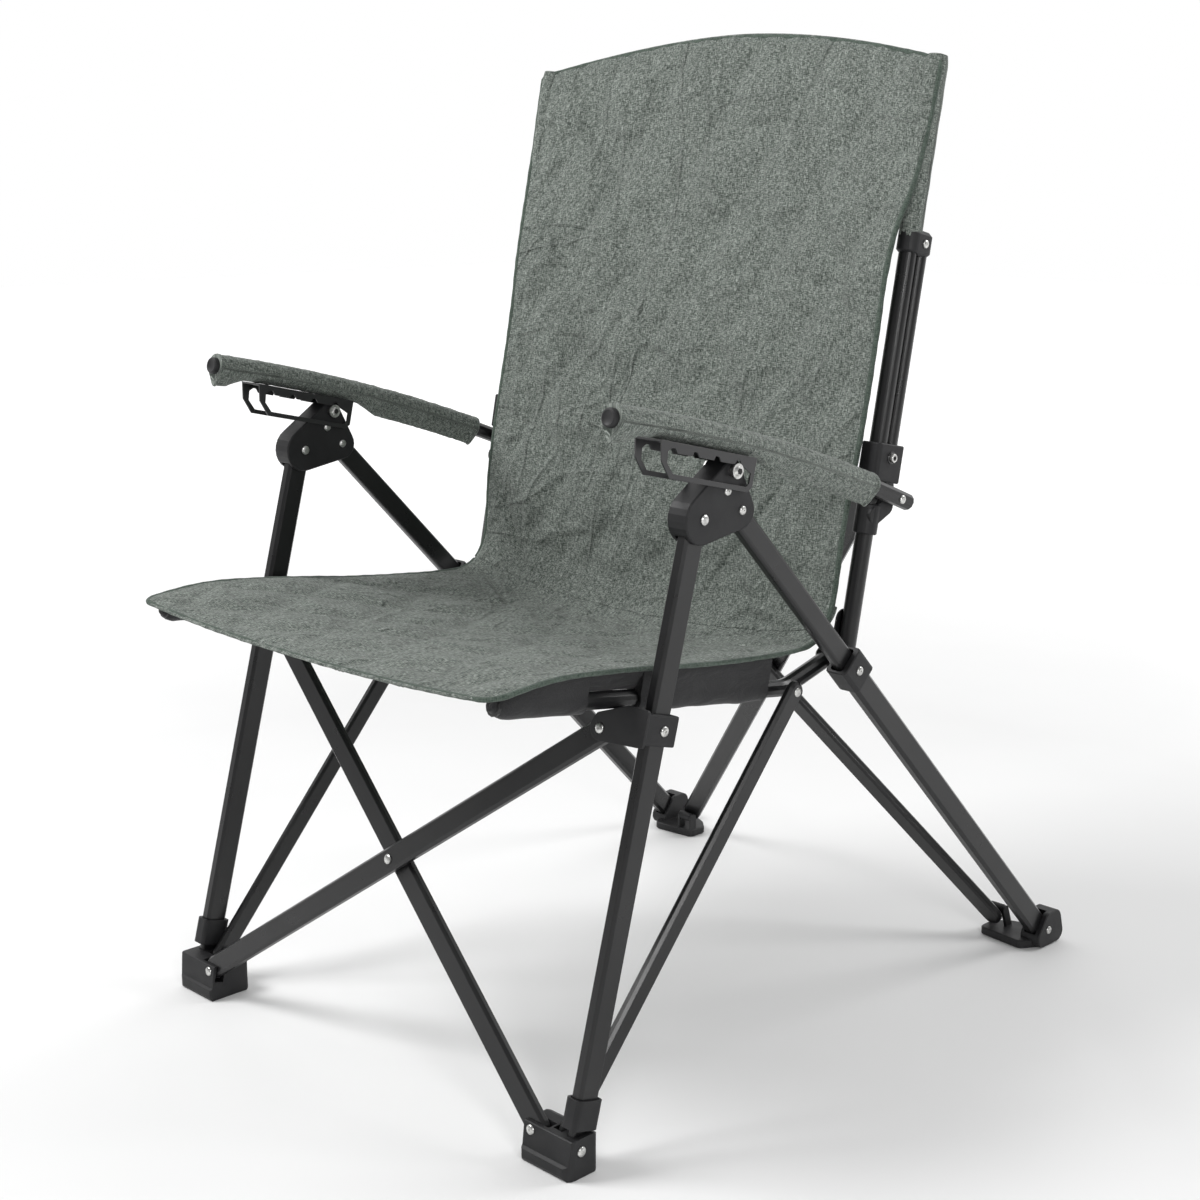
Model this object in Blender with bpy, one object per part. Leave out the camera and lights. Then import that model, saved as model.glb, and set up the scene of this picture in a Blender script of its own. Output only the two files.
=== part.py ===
"""Folding camp chair with a reclining back, as an assembly of separate pieces.

Metres, +Z up, the chair faces -Y. Heights are measured from the floor and depths are
measured back from the front foot rivets, then moved so that the origin lies under the
middle of the chair. Left is the sitter's left, +X.
"""
import math

import bmesh
import bpy
from mathutils import Matrix, Vector

# ---------------------------------------------------------------- driving dimensions
ORIGIN_DEPTH = 0.38296            # depth of the origin behind the front foot rivets
GAP = 0.0003                    # play between pieces that touch
SLIDE_PLAY = 0.0005             # play between pieces that slide

LEAN = math.radians(15.0)       # front legs lean back
LEG_X = 0.310                   # middle of the leg tubes
LEG_WIDTH, LEG_THICK = 0.026, 0.014
INNER_WIDTH, INNER_THICK = 0.0205, 0.0085
INNER_LENGTH = 0.340            # inner leg above the foot rivet
HUB = (0.170, 0.6085)           # depth and height of the front leg's pivot
HUB_HALF = 0.0125               # half the hub's thickness

CROSS_HALF_SPREAD = 0.266       # end rivets of the front cross tubes from the middle
CROSS_LOW, CROSS_HIGH = 0.033, 0.409
CROSS_DEPTH = 0.003             # depth of the lower end rivets
CROSS_WIDTH, CROSS_THICK = 0.0255, 0.011

FOOT_INNER, FOOT_OUTER = 0.2545, 0.3205
FOOT_BACK, FOOT_TOP = 0.0330, 0.0400
FOOT_WALL, FOOT_LEAN = 0.0042, 0.12   # plastic in front of the cross tube, and its slope

REAR_SLOPE = math.radians(45.8)
REAR_TOP = (0.2022, 0.632)      # upper rivet of the rear leg in the hub
REAR_LENGTH = 0.856             # from that rivet to the foot rivet
REAR_SPLIT = 0.287              # where the wide lower tube starts
UPPER_WIDTH, UPPER_THICK = 0.024, 0.013
LOWER_WIDTH, LOWER_THICK = 0.0275, 0.015

SEAT_PIVOT = (0.430, 0.421)     # seat rails and back posts turn here
RAIL_X, RAIL_RADIUS = 0.2672, 0.009
RAIL_FRONT = (-0.045, 0.4606)
RAIL_BEND = (0.355, 0.4005)
RAIL_RIVET = (0.343, 0.4040)

STRUT_X, STRUT_WIDTH, STRUT_THICK = 0.2918, 0.022, 0.010
STRUT_FOOT = (0.022, 0.034)

POST_X, POST_RADIUS = 0.2880, 0.0095
POST_LEAN = math.radians(11.5)
POST_LENGTH = 0.628
GUIDE_RADIUS, GUIDE_BEHIND = 0.0085, 0.0195
GUIDE_FROM, GUIDE_TO = 0.196, 0.432

ARM_PIVOT = (0.480, 0.580)
ARM_TIP, ARM_END = (0.060, 0.7125), (0.499, 0.5835)
ARM_RISE = 0.011                # how far the arm bows up between its ends
ARM_RADIUS = 0.009
RATCHET_PIN = (0.2095, 0.6505)
RATCHET_SLOPE = math.radians(-13.2)
RATCHET_STEP = 0.0302
RATCHET_STEPS = 3
BOLT_HALF_GRIP, BOLT_HEAD = 0.0174, 0.0036
SHOULDER_HALF = 0.0149          # half the bolt's thick middle, inside the channel
ARM_PIN_SHARE = 0.155           # where the cross pin sits along the arm, 0 at the tip

REAR_CROSS_HALF_SPREAD = 0.256
REAR_CROSS_LOW = (0.784, 0.030)
REAR_CROSS_HIGH = (0.517, 0.605)

SEAT_HALF_WIDTH, SEAT_THICK = 0.2860, 0.007
BACK_HALF_WIDTH, BACK_THICK = 0.2930, 0.008

FRAME = ((0.028, 0.028, 0.030), 0.38, 0.55)
PLASTIC = ((0.020, 0.020, 0.021), 0.55, 0.0)
STEEL = ((0.62, 0.62, 0.60), 0.28, 1.0)
SHEET_STEEL = ((0.024, 0.024, 0.026), 0.42, 0.4)
FABRIC = ((0.175, 0.205, 0.180), 0.92, 0.0)

# ---------------------------------------------------------------- directions and points
X = Vector((1, 0, 0))
LEG_UP = Vector((0, math.sin(LEAN), math.cos(LEAN)))
LEG_FRONT = Vector((0, -math.cos(LEAN), math.sin(LEAN)))
REAR_DOWN = Vector((0, math.cos(REAR_SLOPE), -math.sin(REAR_SLOPE)))
REAR_BACK = Vector((0, math.sin(REAR_SLOPE), math.cos(REAR_SLOPE)))
POST_UP = Vector((0, math.sin(POST_LEAN), math.cos(POST_LEAN)))
POST_BACK = Vector((0, math.cos(POST_LEAN), -math.sin(POST_LEAN)))
SLOT_BACK = Vector((0, math.cos(RATCHET_SLOPE), math.sin(RATCHET_SLOPE)))
SLOT_UP = Vector((0, -math.sin(RATCHET_SLOPE), math.cos(RATCHET_SLOPE)))


def at(x, depth, height):
    """A point from its place across, its depth behind the front rivets and its height."""
    return Vector((x, depth - ORIGIN_DEPTH, height))


CROSS_MID = (CROSS_DEPTH + (CROSS_HIGH - CROSS_LOW) / 2 * math.tan(LEAN),
             (CROSS_LOW + CROSS_HIGH) / 2)
CROSS_TOP = (2 * CROSS_MID[0] - CROSS_DEPTH, CROSS_HIGH)
CROSS_CENTRE = at(0, *CROSS_MID)
LEG_FOOT = at(LEG_X, HUB[0], HUB[1]) - LEG_UP * ((HUB[1] - CROSS_LOW) / LEG_UP.z)
HUB_POINT = at(LEG_X, *HUB)
REAR_POINT = at(LEG_X, *REAR_TOP)
REAR_FOOT = REAR_POINT + REAR_DOWN * REAR_LENGTH
PIVOT = at(POST_X, *SEAT_PIVOT)
REAR_CROSS_UP = (at(0, *REAR_CROSS_HIGH) - at(0, *REAR_CROSS_LOW)).normalized()
REAR_CROSS_NORMAL = REAR_CROSS_UP.cross(X).normalized()
REAR_CROSS_CENTRE = (at(0, *REAR_CROSS_HIGH) + at(0, *REAR_CROSS_LOW)) / 2
CLAMP_FROM, CLAMP_TO = 0.190, 0.230


def mirrored(point, side):
    """The same point on the left (side 1) or on the right (side -1)."""
    return Vector((point.x * side, point.y, point.z))


# ---------------------------------------------------------------- outlines
def round_rect(width, height, radius, steps=3):
    """A rectangle with round corners, counter-clockwise about its middle."""
    corners = ((1, 1), (-1, 1), (-1, -1), (1, -1))
    outline = []
    for index, (sx, sy) in enumerate(corners):
        centre = (sx * (width / 2 - radius), sy * (height / 2 - radius))
        for step in range(steps + 1):
            angle = math.pi / 2 * (index + step / steps)
            outline.append((centre[0] + radius * math.cos(angle),
                            centre[1] + radius * math.sin(angle)))
    return outline


def slot_outline(start, end, radius, steps=8):
    """A bar's outline with half-round ends about start and end."""
    angle = math.atan2(end[1] - start[1], end[0] - start[0])
    outline = []
    for centre, turn in ((end, -0.5), (start, 0.5)):
        for step in range(steps + 1):
            a = angle + math.pi * (turn + step / steps)
            outline.append((centre[0] + radius * math.cos(a), centre[1] + radius * math.sin(a)))
    return outline


def hull_outline(circles, steps=24):
    """The outline of a band drawn tight round circles of (x, y, radius)."""
    points = []
    for x, y, radius in circles:
        for step in range(steps):
            angle = 2 * math.pi * step / steps
            points.append((x + radius * math.cos(angle), y + radius * math.sin(angle)))
    points = sorted(set((round(x, 7), round(y, 7)) for x, y in points))
    halves = []
    for ordered in (points, points[::-1]):
        half = []
        for point in ordered:
            while len(half) > 1 and turn_of(half[-2], half[-1], point) <= 1e-10:
                half.pop()
            half.append(point)
        halves.append(half[:-1])
    return halves[0] + halves[1]


def turn_of(a, b, c):
    return (b[0] - a[0]) * (c[1] - a[1]) - (b[1] - a[1]) * (c[0] - a[0])


def inset(outline, distance):
    """The outline moved inwards by a small distance."""
    result = []
    count = len(outline)
    for index, point in enumerate(outline):
        before = Vector(outline[index - 1])
        after = Vector(outline[(index + 1) % count])
        here = Vector(point)
        first = (here - before).normalized()
        second = (after - here).normalized()
        normal_a = Vector((-first.y, first.x))
        normal_b = Vector((-second.y, second.x))
        middle = normal_a + normal_b
        scale = max(middle.dot(normal_a), 0.5)
        result.append(tuple(here + middle * (distance / scale)))
    return result


# ---------------------------------------------------------------- solids
def new_object(name, mesh):
    made = bpy.data.objects.new(name, mesh)
    bpy.context.scene.collection.objects.link(made)
    return made


def finish_mesh(name, bm, smooth=True):
    bmesh.ops.recalc_face_normals(bm, faces=bm.faces)
    mesh = bpy.data.meshes.new(name)
    bm.to_mesh(mesh)
    bm.free()
    if smooth:
        mesh.shade_smooth()
        mesh.set_sharp_from_angle(angle=math.radians(32))
    return mesh


def prism(name, outline, origin, across, up, start, end, chamfer=0.0):
    """An outline in the plane of across and up, extruded along their normal."""
    along = across.cross(up)
    if chamfer:
        small = inset(outline, chamfer)
        layers = [(start, small), (start + chamfer, outline),
                  (end - chamfer, outline), (end, small)]
    else:
        layers = [(start, outline), (end, outline)]
    bm = bmesh.new()
    rings = []
    for distance, points in layers:
        rings.append([bm.verts.new(origin + across * u + up * v + along * distance)
                      for u, v in points])
    count = len(outline)
    for low, high in zip(rings, rings[1:]):
        for index in range(count):
            other = (index + 1) % count
            bm.faces.new((low[index], low[other], high[other], high[index]))
    bm.faces.new(rings[0][::-1])
    bm.faces.new(rings[-1])
    return new_object(name, finish_mesh(name, bm))


def side_prism(name, outline, x_from, x_to, chamfer=0.0):
    """An outline of (depth, height) points, extruded across the chair."""
    low, high = sorted((x_from, x_to))
    shift = [(depth - ORIGIN_DEPTH, height) for depth, height in outline]
    return prism(name, shift, Vector((0, 0, 0)), Vector((0, 1, 0)), Vector((0, 0, 1)),
                 low, high, chamfer)


def flat_tube(name, start, end, flat_way, width, thick, radius=0.004, extra=0.0):
    """A flattened tube's outside from start to end, its wide side along flat_way."""
    along = (end - start).normalized()
    across = flat_way.normalized()
    up = along.cross(across)
    origin = start - along * extra
    length = (end - start).length + 2 * extra
    return prism(name, round_rect(width, thick, radius), origin, across, up, 0.0, length)


def round_end_bar(name, start, end, flat_way, width, thick, radius=0.003):
    """A flat bar whose two ends are half round about start and end."""
    along = (end - start).normalized()
    across = flat_way.normalized()
    length = (end - start).length
    normal = along.cross(across)
    outline = slot_outline((0, 0), (length, 0), width / 2)
    return prism(name, outline, start, along, across, -thick / 2, thick / 2,
                 min(radius, thick / 3)) if normal.length else None


def rod(name, start, end, radius, sides=24, chamfer=0.0):
    """A round bar from start to end."""
    along = (end - start).normalized()
    helper = X if abs(along.dot(X)) < 0.9 else Vector((0, 0, 1))
    across = along.cross(helper).normalized()
    up = along.cross(across)
    outline = [(radius * math.cos(2 * math.pi * i / sides), radius * math.sin(2 * math.pi * i / sides))
               for i in range(sides)]
    return prism(name, outline, start, across, up, 0.0, (end - start).length, chamfer)


def turned(name, start, direction, profile, sides=20):
    """A solid turned about a line: profile is a list of (distance along, radius)."""
    along = direction.normalized()
    helper = X if abs(along.dot(X)) < 0.9 else Vector((0, 0, 1))
    across = along.cross(helper).normalized()
    up = along.cross(across)
    bm = bmesh.new()
    rings = []
    for distance, radius in profile:
        rings.append([bm.verts.new(start + along * distance
                                   + across * (radius * math.cos(2 * math.pi * i / sides))
                                   + up * (radius * math.sin(2 * math.pi * i / sides)))
                      for i in range(sides)])
    for low, high in zip(rings, rings[1:]):
        for index in range(sides):
            other = (index + 1) % sides
            bm.faces.new((low[index], low[other], high[other], high[index]))
    bm.faces.new(rings[0][::-1])
    bm.faces.new(rings[-1])
    return new_object(name, finish_mesh(name, bm))


def bent_rod(name, points, radius, resolution=4):
    """A round tube along a list of points."""
    curve = bpy.data.curves.new(name, 'CURVE')
    curve.dimensions = '3D'
    curve.bevel_depth = radius
    curve.bevel_resolution = resolution
    curve.use_fill_caps = True
    spline = curve.splines.new('POLY')
    spline.points.add(len(points) - 1)
    for slot, point in zip(spline.points, points):
        slot.co = (*point, 1.0)
    shape = bpy.data.objects.new(name + '_path', curve)
    mesh = bpy.data.meshes.new_from_object(shape)
    bpy.data.objects.remove(shape)
    mesh.name = name
    bm = bmesh.new()
    bm.from_mesh(mesh)
    bmesh.ops.remove_doubles(bm, verts=bm.verts, dist=1e-6)
    bpy.data.meshes.remove(mesh)
    return new_object(name, finish_mesh(name, bm))


def rounded_path(points, radius, steps=6):
    """The points with each inner corner replaced by an arc."""
    path = [points[0]]
    for before, corner, after in zip(points, points[1:], points[2:]):
        into = (corner - before).normalized()
        out = (after - corner).normalized()
        half_turn = math.acos(max(-1.0, min(1.0, into.dot(out)))) / 2
        reach = radius * math.tan(half_turn)
        start = corner - into * reach
        end = corner + out * reach
        for step in range(steps + 1):
            t = step / steps
            path.append((1 - t) ** 2 * start + 2 * t * (1 - t) * corner + t ** 2 * end)
    path.append(points[-1])
    return path


def combine(target, tool, operation):
    """Join a tool to a target, or cut it away, and hide the tool as a guide."""
    modifier = target.modifiers.new(operation.lower(), 'BOOLEAN')
    modifier.operation = operation
    modifier.solver = 'EXACT'
    modifier.object = tool
    tool.name = 'guide_' + tool.name
    tool.hide_render = True
    tool.display_type = 'WIRE'
    return target


def cut(target, *tools):
    for tool in tools:
        combine(target, tool, 'DIFFERENCE')
    return target


def join(target, *tools):
    for tool in tools:
        combine(target, tool, 'UNION')
    return target


def bore_x(target, point, radius, half_length=0.05, sides=20):
    """Cut a round hole across the chair through a target."""
    reach = X * half_length
    return cut(target, rod(target.name + '_bore', point - reach, point + reach, radius, sides))


def rivet(name, start, end, shank, head, rise):
    """A rivet from start to end with a low dome at both ends."""
    direction = end - start
    length = direction.length
    domed = [(head, 0.0), (head * 0.96, rise * 0.45), (head * 0.72, rise * 0.85), (head * 0.3, rise)]
    profile = [(-r, h) for h, r in reversed(domed)]
    profile += [(0.0, shank), (length, shank)]
    profile += [(length + r, h) for h, r in domed]
    return turned(name, start, direction, profile)


# ---------------------------------------------------------------- bodies and materials
joint_points = {}
carriers = {}


def add_carrier(body, point, parent=None):
    """An empty on a joint's axis that carries the pieces of one moving body."""
    empty = bpy.data.objects.new('axis_' + body, None)
    empty.empty_display_size = 0.02
    bpy.context.scene.collection.objects.link(empty)
    if parent:
        empty.parent = carriers[parent]
        empty.location = point - joint_points[parent]
    else:
        empty.location = point
    joint_points[body] = point
    carriers[body] = empty


def carry(body, *pieces):
    """Parent pieces to their body's empty without moving them."""
    for piece in pieces:
        piece.parent = carriers[body]
        piece.location = -joint_points[body]


def paint(look, label, *pieces):
    """Give each piece its own material."""
    colour, roughness, metallic = look
    for piece in pieces:
        material = bpy.data.materials.new(piece.name + '_' + label)
        material.use_nodes = True
        shader = material.node_tree.nodes['Principled BSDF']
        shader.inputs['Base Color'].default_value = (*colour, 1.0)
        shader.inputs['Roughness'].default_value = roughness
        shader.inputs['Metallic'].default_value = metallic
        material.diffuse_color = (*colour, 1.0)
        piece.data.materials.clear()
        piece.data.materials.append(material)


# ---------------------------------------------------------------- front cross brace
def layer_of(side, low_end):
    """Which side of the cross plane the tube at this corner lies on: 1 front, -1 back."""
    return -side if low_end else side


def cross_bar(name, centre, up, half_spread, half_height, lean_side, start, end):
    """A flattened cross tube with half-round ends, low on one side and high on the other."""
    outline = slot_outline((lean_side * half_spread, -half_height),
                           (-lean_side * half_spread, half_height), CROSS_WIDTH / 2)
    return prism(name, outline, centre, X, up, start, end, 0.0028)


def front_cross():
    half_height = (at(0, *CROSS_TOP) - at(0, CROSS_DEPTH, CROSS_LOW)).length / 2
    tubes = []
    for name, side in (('front_cross_tube_left', 1), ('front_cross_tube_right', -1)):
        layer = layer_of(side, True)
        start = min(layer * GAP, layer * (GAP + CROSS_THICK))
        tube = cross_bar(name, CROSS_CENTRE, LEG_UP, CROSS_HALF_SPREAD, half_height, side,
                         start, start + CROSS_THICK)
        reach = LEG_FRONT * 0.03
        cut(tube, rod(name + '_bore', CROSS_CENTRE - reach, CROSS_CENTRE + reach, 0.0032, 20))
        paint(FRAME, 'frame', tube)
        tubes.append(tube)
    edge = LEG_FRONT * (CROSS_THICK + 2 * GAP)
    pin = rivet('front_cross_rivet', CROSS_CENTRE - edge, CROSS_CENTRE + edge, 0.0029, 0.0052, 0.0022)
    paint(STEEL, 'steel', pin)
    add_carrier('cross_centre', CROSS_CENTRE)
    carry('cross_centre', pin)
    for tube, body in zip(tubes, ('front_cross_left', 'front_cross_right')):
        add_carrier(body, CROSS_CENTRE, 'cross_centre')
        carry(body, tube)


# ---------------------------------------------------------------- front foot and inner leg
def front_foot(side, label):
    """A moulded boot that holds the cross tube, the inner leg and the strut."""
    rivet_point = at(side * CROSS_HALF_SPREAD, CROSS_DEPTH, CROSS_LOW)
    layer = layer_of(side, True)
    tube_front = max(layer * GAP, layer * (GAP + CROSS_THICK))
    front = CROSS_DEPTH - tube_front / math.cos(LEAN) - FOOT_WALL - CROSS_LOW * FOOT_LEAN
    outline = [(FOOT_BACK - 0.0020, 0.0), (FOOT_BACK + 0.0012, 0.0030), (FOOT_BACK + 0.0012, 0.0120),
               (FOOT_BACK, 0.0150), (FOOT_BACK + 0.0010, FOOT_TOP - 0.0020),
               (FOOT_BACK - 0.0040, FOOT_TOP), (front + FOOT_TOP * FOOT_LEAN + 0.0010, FOOT_TOP),
               (front + (FOOT_TOP - 0.0010) * FOOT_LEAN, FOOT_TOP - 0.0010),
               (front + 0.0150 * FOOT_LEAN, 0.0150), (front - 0.0012, 0.0125), (front - 0.0012, 0.0035),
               (front + 0.0010, 0.0)]
    foot = side_prism('front_foot_' + label, outline, side * (FOOT_INNER - 0.01), side * (FOOT_OUTER + 0.01))
    plan = [(FOOT_INNER + 0.0030, front + 0.0018, 0.0030), (FOOT_OUTER - 0.0100, front + 0.0088, 0.0100),
            (FOOT_OUTER - 0.0060, FOOT_BACK - 0.0045, 0.0060), (FOOT_INNER + 0.0040, FOOT_BACK - 0.0025, 0.0040)]
    footprint = prism('footprint', hull_outline([(side * x, y - ORIGIN_DEPTH, r) for x, y, r in plan]),
                      Vector((0, 0, -0.01)), X, Vector((0, 1, 0)), 0.0, 0.08)
    combine(foot, footprint, 'INTERSECT')
    pocket_low = rivet_point - LEG_UP * 0.0145
    pocket = prism('pocket', round_rect(0.064, CROSS_THICK + 2 * GAP, 0.001, 1),
                   pocket_low - X * side * 0.0148 + LEG_FRONT * layer * (GAP + CROSS_THICK / 2),
                   X, LEG_FRONT, -0.08, 0.0)
    strut_slot = side_prism('strut_slot', [(0.0085, 0.0205), (0.08, 0.0205), (0.08, 0.08), (0.0085, 0.08)],
                            side * (STRUT_X - 0.0062), side * (STRUT_X + 0.0062))
    leg_point = mirrored(LEG_FOOT, side)
    socket = flat_tube('socket', leg_point - LEG_UP * 0.0145, leg_point + LEG_UP * 0.08, LEG_FRONT,
                       INNER_WIDTH + 2 * GAP, INNER_THICK + 2 * GAP, 0.0025)
    cut(foot, pocket, strut_slot, socket)
    inner = flat_tube('inner_leg_' + label, leg_point - LEG_UP * 0.0140,
                      leg_point + LEG_UP * INNER_LENGTH, LEG_FRONT, INNER_WIDTH, INNER_THICK, 0.0025)
    paint(PLASTIC, 'plastic', foot)
    paint(FRAME, 'frame', inner)
    cross = 'front_cross_left' if side > 0 else 'front_cross_right'
    add_carrier('front_foot_' + label, rivet_point, cross)
    carry('front_foot_' + label, foot, inner)


def side_strut(side, label):
    low = at(side * STRUT_X, *STRUT_FOOT)
    high = at(side * STRUT_X, *RAIL_RIVET)
    strut = round_end_bar('side_strut_' + label, low, high, X.cross((high - low).normalized()),
                          STRUT_WIDTH, STRUT_THICK)
    paint(FRAME, 'frame', strut)
    add_carrier('side_strut_' + label, low, 'front_foot_' + label)
    carry('side_strut_' + label, strut)


# ---------------------------------------------------------------- outer leg, collar, bracket
def outer_leg(side, label):
    foot_point = mirrored(LEG_FOOT, side)
    length = (HUB_POINT - LEG_FOOT).length
    half = LEG_WIDTH / 2
    outline = [(half, 0.0150)]
    outline += [(half * math.cos(a * math.pi / 10), length + half * math.sin(a * math.pi / 10))
                for a in range(11)]
    outline += [(-half, 0.0150)]
    leg = prism('outer_leg_' + label, outline, foot_point, -LEG_FRONT, LEG_UP,
                -LEG_THICK / 2, LEG_THICK / 2, 0.003)
    cut(leg, flat_tube('hollow', foot_point, foot_point + LEG_UP * (INNER_LENGTH + 0.03), LEG_FRONT,
                       INNER_WIDTH + 2 * SLIDE_PLAY, INNER_THICK + 2 * SLIDE_PLAY, 0.003))
    bore_x(leg, mirrored(HUB_POINT, side), 0.0033)
    collar = flat_tube('leg_collar_' + label, foot_point + LEG_UP * 0.0125, foot_point + LEG_UP * 0.0415,
                       LEG_FRONT, LEG_WIDTH + 0.0064, LEG_THICK + 0.0064, 0.005)
    cut(collar, flat_tube('collar_hole', foot_point, foot_point + LEG_UP * 0.1, LEG_FRONT,
                          LEG_WIDTH + 2 * GAP, LEG_THICK + 2 * GAP, 0.0032))
    bracket = cross_bracket(side, label, foot_point)
    paint(FRAME, 'frame', leg)
    paint(PLASTIC, 'plastic', collar, bracket)
    cross = 'front_cross_right' if side > 0 else 'front_cross_left'
    body = 'front_leg_' + label
    add_carrier(body, at(side * CROSS_HALF_SPREAD, *CROSS_TOP), cross)
    carry(body, leg, collar, bracket)


def cross_bracket(side, label, foot_point):
    """Holds the upper end of a cross tube to the leg, with a shelf for the seat rail."""
    layer = layer_of(side, False)
    plate_back = max(layer * GAP, layer * (GAP + CROSS_THICK)) + GAP
    plate_front = plate_back + 0.0032
    origin = at(0, *CROSS_TOP)
    circles = [(0.2665, 0.001, 0.0130), (0.3005, -0.005, 0.003), (0.3205, -0.005, 0.003),
               (0.3205, 0.025, 0.003), (0.2980, 0.025, 0.003), (0.2620, 0.0115, 0.0034)]
    outline = hull_outline([(side * x, y, r) for x, y, r in circles])
    bracket = prism('cross_bracket_' + label, outline, origin, X, LEG_UP,
                    plate_back, plate_front)
    sleeve_box = round_rect(0.0262, 0.0300, 0.002, 2)
    sleeve = prism('sleeve', sleeve_box, origin + X * side * LEG_X + LEG_UP * 0.010, X, LEG_UP,
                   -0.0290, plate_front - 0.0012)
    shelf = prism('shelf', round_rect(0.036, 0.0035, 0.001, 1),
                  origin + X * side * 0.2800 + LEG_UP * 0.01565, X, LEG_UP, -0.0140,
                  min(plate_front - 0.0012, 0.0060))
    join(bracket, sleeve, shelf)
    cut(bracket, flat_tube('leg_hole', foot_point + LEG_UP * 0.3, foot_point + LEG_UP * 0.5, LEG_FRONT,
                           LEG_WIDTH + 2 * GAP, LEG_THICK + 2 * GAP, 0.0032))
    return bracket


# ---------------------------------------------------------------- hub and rear leg
def rear_side(side, label):
    hub_point = mirrored(HUB_POINT, side)
    centre = side * LEG_X
    circles = [(*HUB, 0.0245), (*RATCHET_PIN, 0.0115), (*REAR_TOP, 0.0170),
               (HUB[0] + 0.0544, HUB[1] + 0.0012, 0.0170)]
    hub = side_prism('hub_' + label, hull_outline(circles), centre - HUB_HALF, centre + HUB_HALF, 0.0012)
    fan = [(*HUB, 0.0146)]
    for degrees in (-107, -90, -75, -60, -45.8):
        angle = math.radians(degrees)
        fan.append((HUB[0] + 0.07 * math.cos(angle), HUB[1] + 0.07 * math.sin(angle), 0.0146))
    leg_room = side_prism('leg_room', hull_outline(fan), centre - 0.0074, centre + 0.0074)
    top = mirrored(REAR_POINT, side)
    rear_room = flat_tube('rear_room', top - REAR_DOWN * 0.0103, top + REAR_DOWN * 0.1, REAR_BACK,
                          UPPER_WIDTH + 2 * GAP, UPPER_THICK + 2 * GAP, 0.003)
    cut(hub, leg_room, rear_room)
    bore_x(hub, hub_point, 0.0033)
    bore_x(hub, at(centre, *RATCHET_PIN), 0.0058)
    pin_half = X * (HUB_HALF + GAP)
    pin = rivet('hub_rivet_' + label, hub_point - pin_half, hub_point + pin_half, 0.0030, 0.0052, 0.0022)
    upper = flat_tube('rear_leg_upper_' + label, top - REAR_DOWN * 0.0100, top + REAR_DOWN * REAR_SPLIT,
                      REAR_BACK, UPPER_WIDTH, UPPER_THICK, 0.004)
    lower_from = top + REAR_DOWN * (REAR_SPLIT + GAP)
    length = REAR_LENGTH - REAR_SPLIT - GAP
    half = LOWER_WIDTH / 2
    outline = [(half, 0.0), (half, length)]
    outline += [(half * math.cos(a * math.pi / 10), length + half * math.sin(a * math.pi / 10))
                for a in range(1, 10)]
    outline += [(-half, length), (-half, 0.0)]
    lower = prism('rear_leg_lower_' + label, outline, lower_from, REAR_BACK * -1, REAR_DOWN,
                  -LOWER_THICK / 2, LOWER_THICK / 2, 0.0035)
    paint(PLASTIC, 'plastic', hub)
    paint(FRAME, 'frame', upper, lower)
    paint(STEEL, 'steel', pin)
    body = 'rear_leg_' + label
    add_carrier(body, hub_point, 'front_leg_' + label)
    carry(body, hub, pin, upper, lower)


def seat_carriage(side, label):
    """The collar that slides on the rear leg and carries the seat and back pivot."""
    top = mirrored(REAR_POINT, side)
    pivot = at(side * POST_X, *SEAT_PIVOT)
    start = top + REAR_DOWN * 0.2800
    outline = round_rect(0.0270, 0.0350, 0.004, 2)
    carriage = prism('seat_carriage_' + label, outline, start + X * side * 0.0008, X, REAR_BACK * -1,
                     0.0, 0.034, 0.0010)
    near = top + REAR_DOWN * 0.300
    plate = [(SEAT_PIVOT[0], SEAT_PIVOT[1], 0.0125),
             (near.y + ORIGIN_DEPTH - 0.006, near.z + 0.008, 0.010),
             (near.y + ORIGIN_DEPTH + 0.004, near.z - 0.006, 0.010)]
    cheek = side_prism('cheek', hull_outline(plate), side * 0.2980, side * 0.3021)
    join(carriage, cheek)
    cut(carriage, flat_tube('leg_hole', top + REAR_DOWN * 0.2, top + REAR_DOWN * 0.4, REAR_BACK,
                            LOWER_WIDTH + 2 * SLIDE_PLAY, LOWER_THICK + 2 * SLIDE_PLAY, 0.0038))
    bolt_from = Vector((side * 0.2530, pivot.y, pivot.z))
    bolt_to = Vector((side * 0.3018, pivot.y, pivot.z))
    length = (bolt_to - bolt_from).length
    bolt = turned('seat_pivot_bolt_' + label, bolt_from, bolt_to - bolt_from,
                  [(0.0, 0.0050), (0.0010, 0.0070), (0.0048, 0.0070), (0.0048, 0.0040), (length, 0.0040)])
    bore_x(carriage, pivot, 0.0043, 0.0145)
    paint(PLASTIC, 'plastic', carriage)
    paint(STEEL, 'steel', bolt)
    body = 'seat_carriage_' + label
    add_carrier(body, pivot, 'rear_leg_' + label)
    carry(body, carriage, bolt)


# ---------------------------------------------------------------- seat rail
def seat_rail(side, label):
    x = side * RAIL_X
    points = rounded_path([at(x, *RAIL_FRONT), at(x, *RAIL_BEND), at(x, *SEAT_PIVOT)], 0.05)
    rail = bent_rod('seat_rail_' + label, points, RAIL_RADIUS)
    eye = [(SEAT_PIVOT[0], SEAT_PIVOT[1], 0.0125)]
    join(rail, side_prism('eye', hull_outline(eye), x - 0.0080, x + 0.0080))
    bore_x(rail, at(x, *SEAT_PIVOT), 0.0044)
    paint(FRAME, 'frame', rail)
    body = 'seat_rail_' + label
    add_carrier(body, at(x, *SEAT_PIVOT), 'seat_carriage_' + label)
    carry(body, rail)


# ---------------------------------------------------------------- back post and its pieces
def post_point(side, along, back=0.0):
    return mirrored(PIVOT, side) + POST_UP * along + POST_BACK * back


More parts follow.
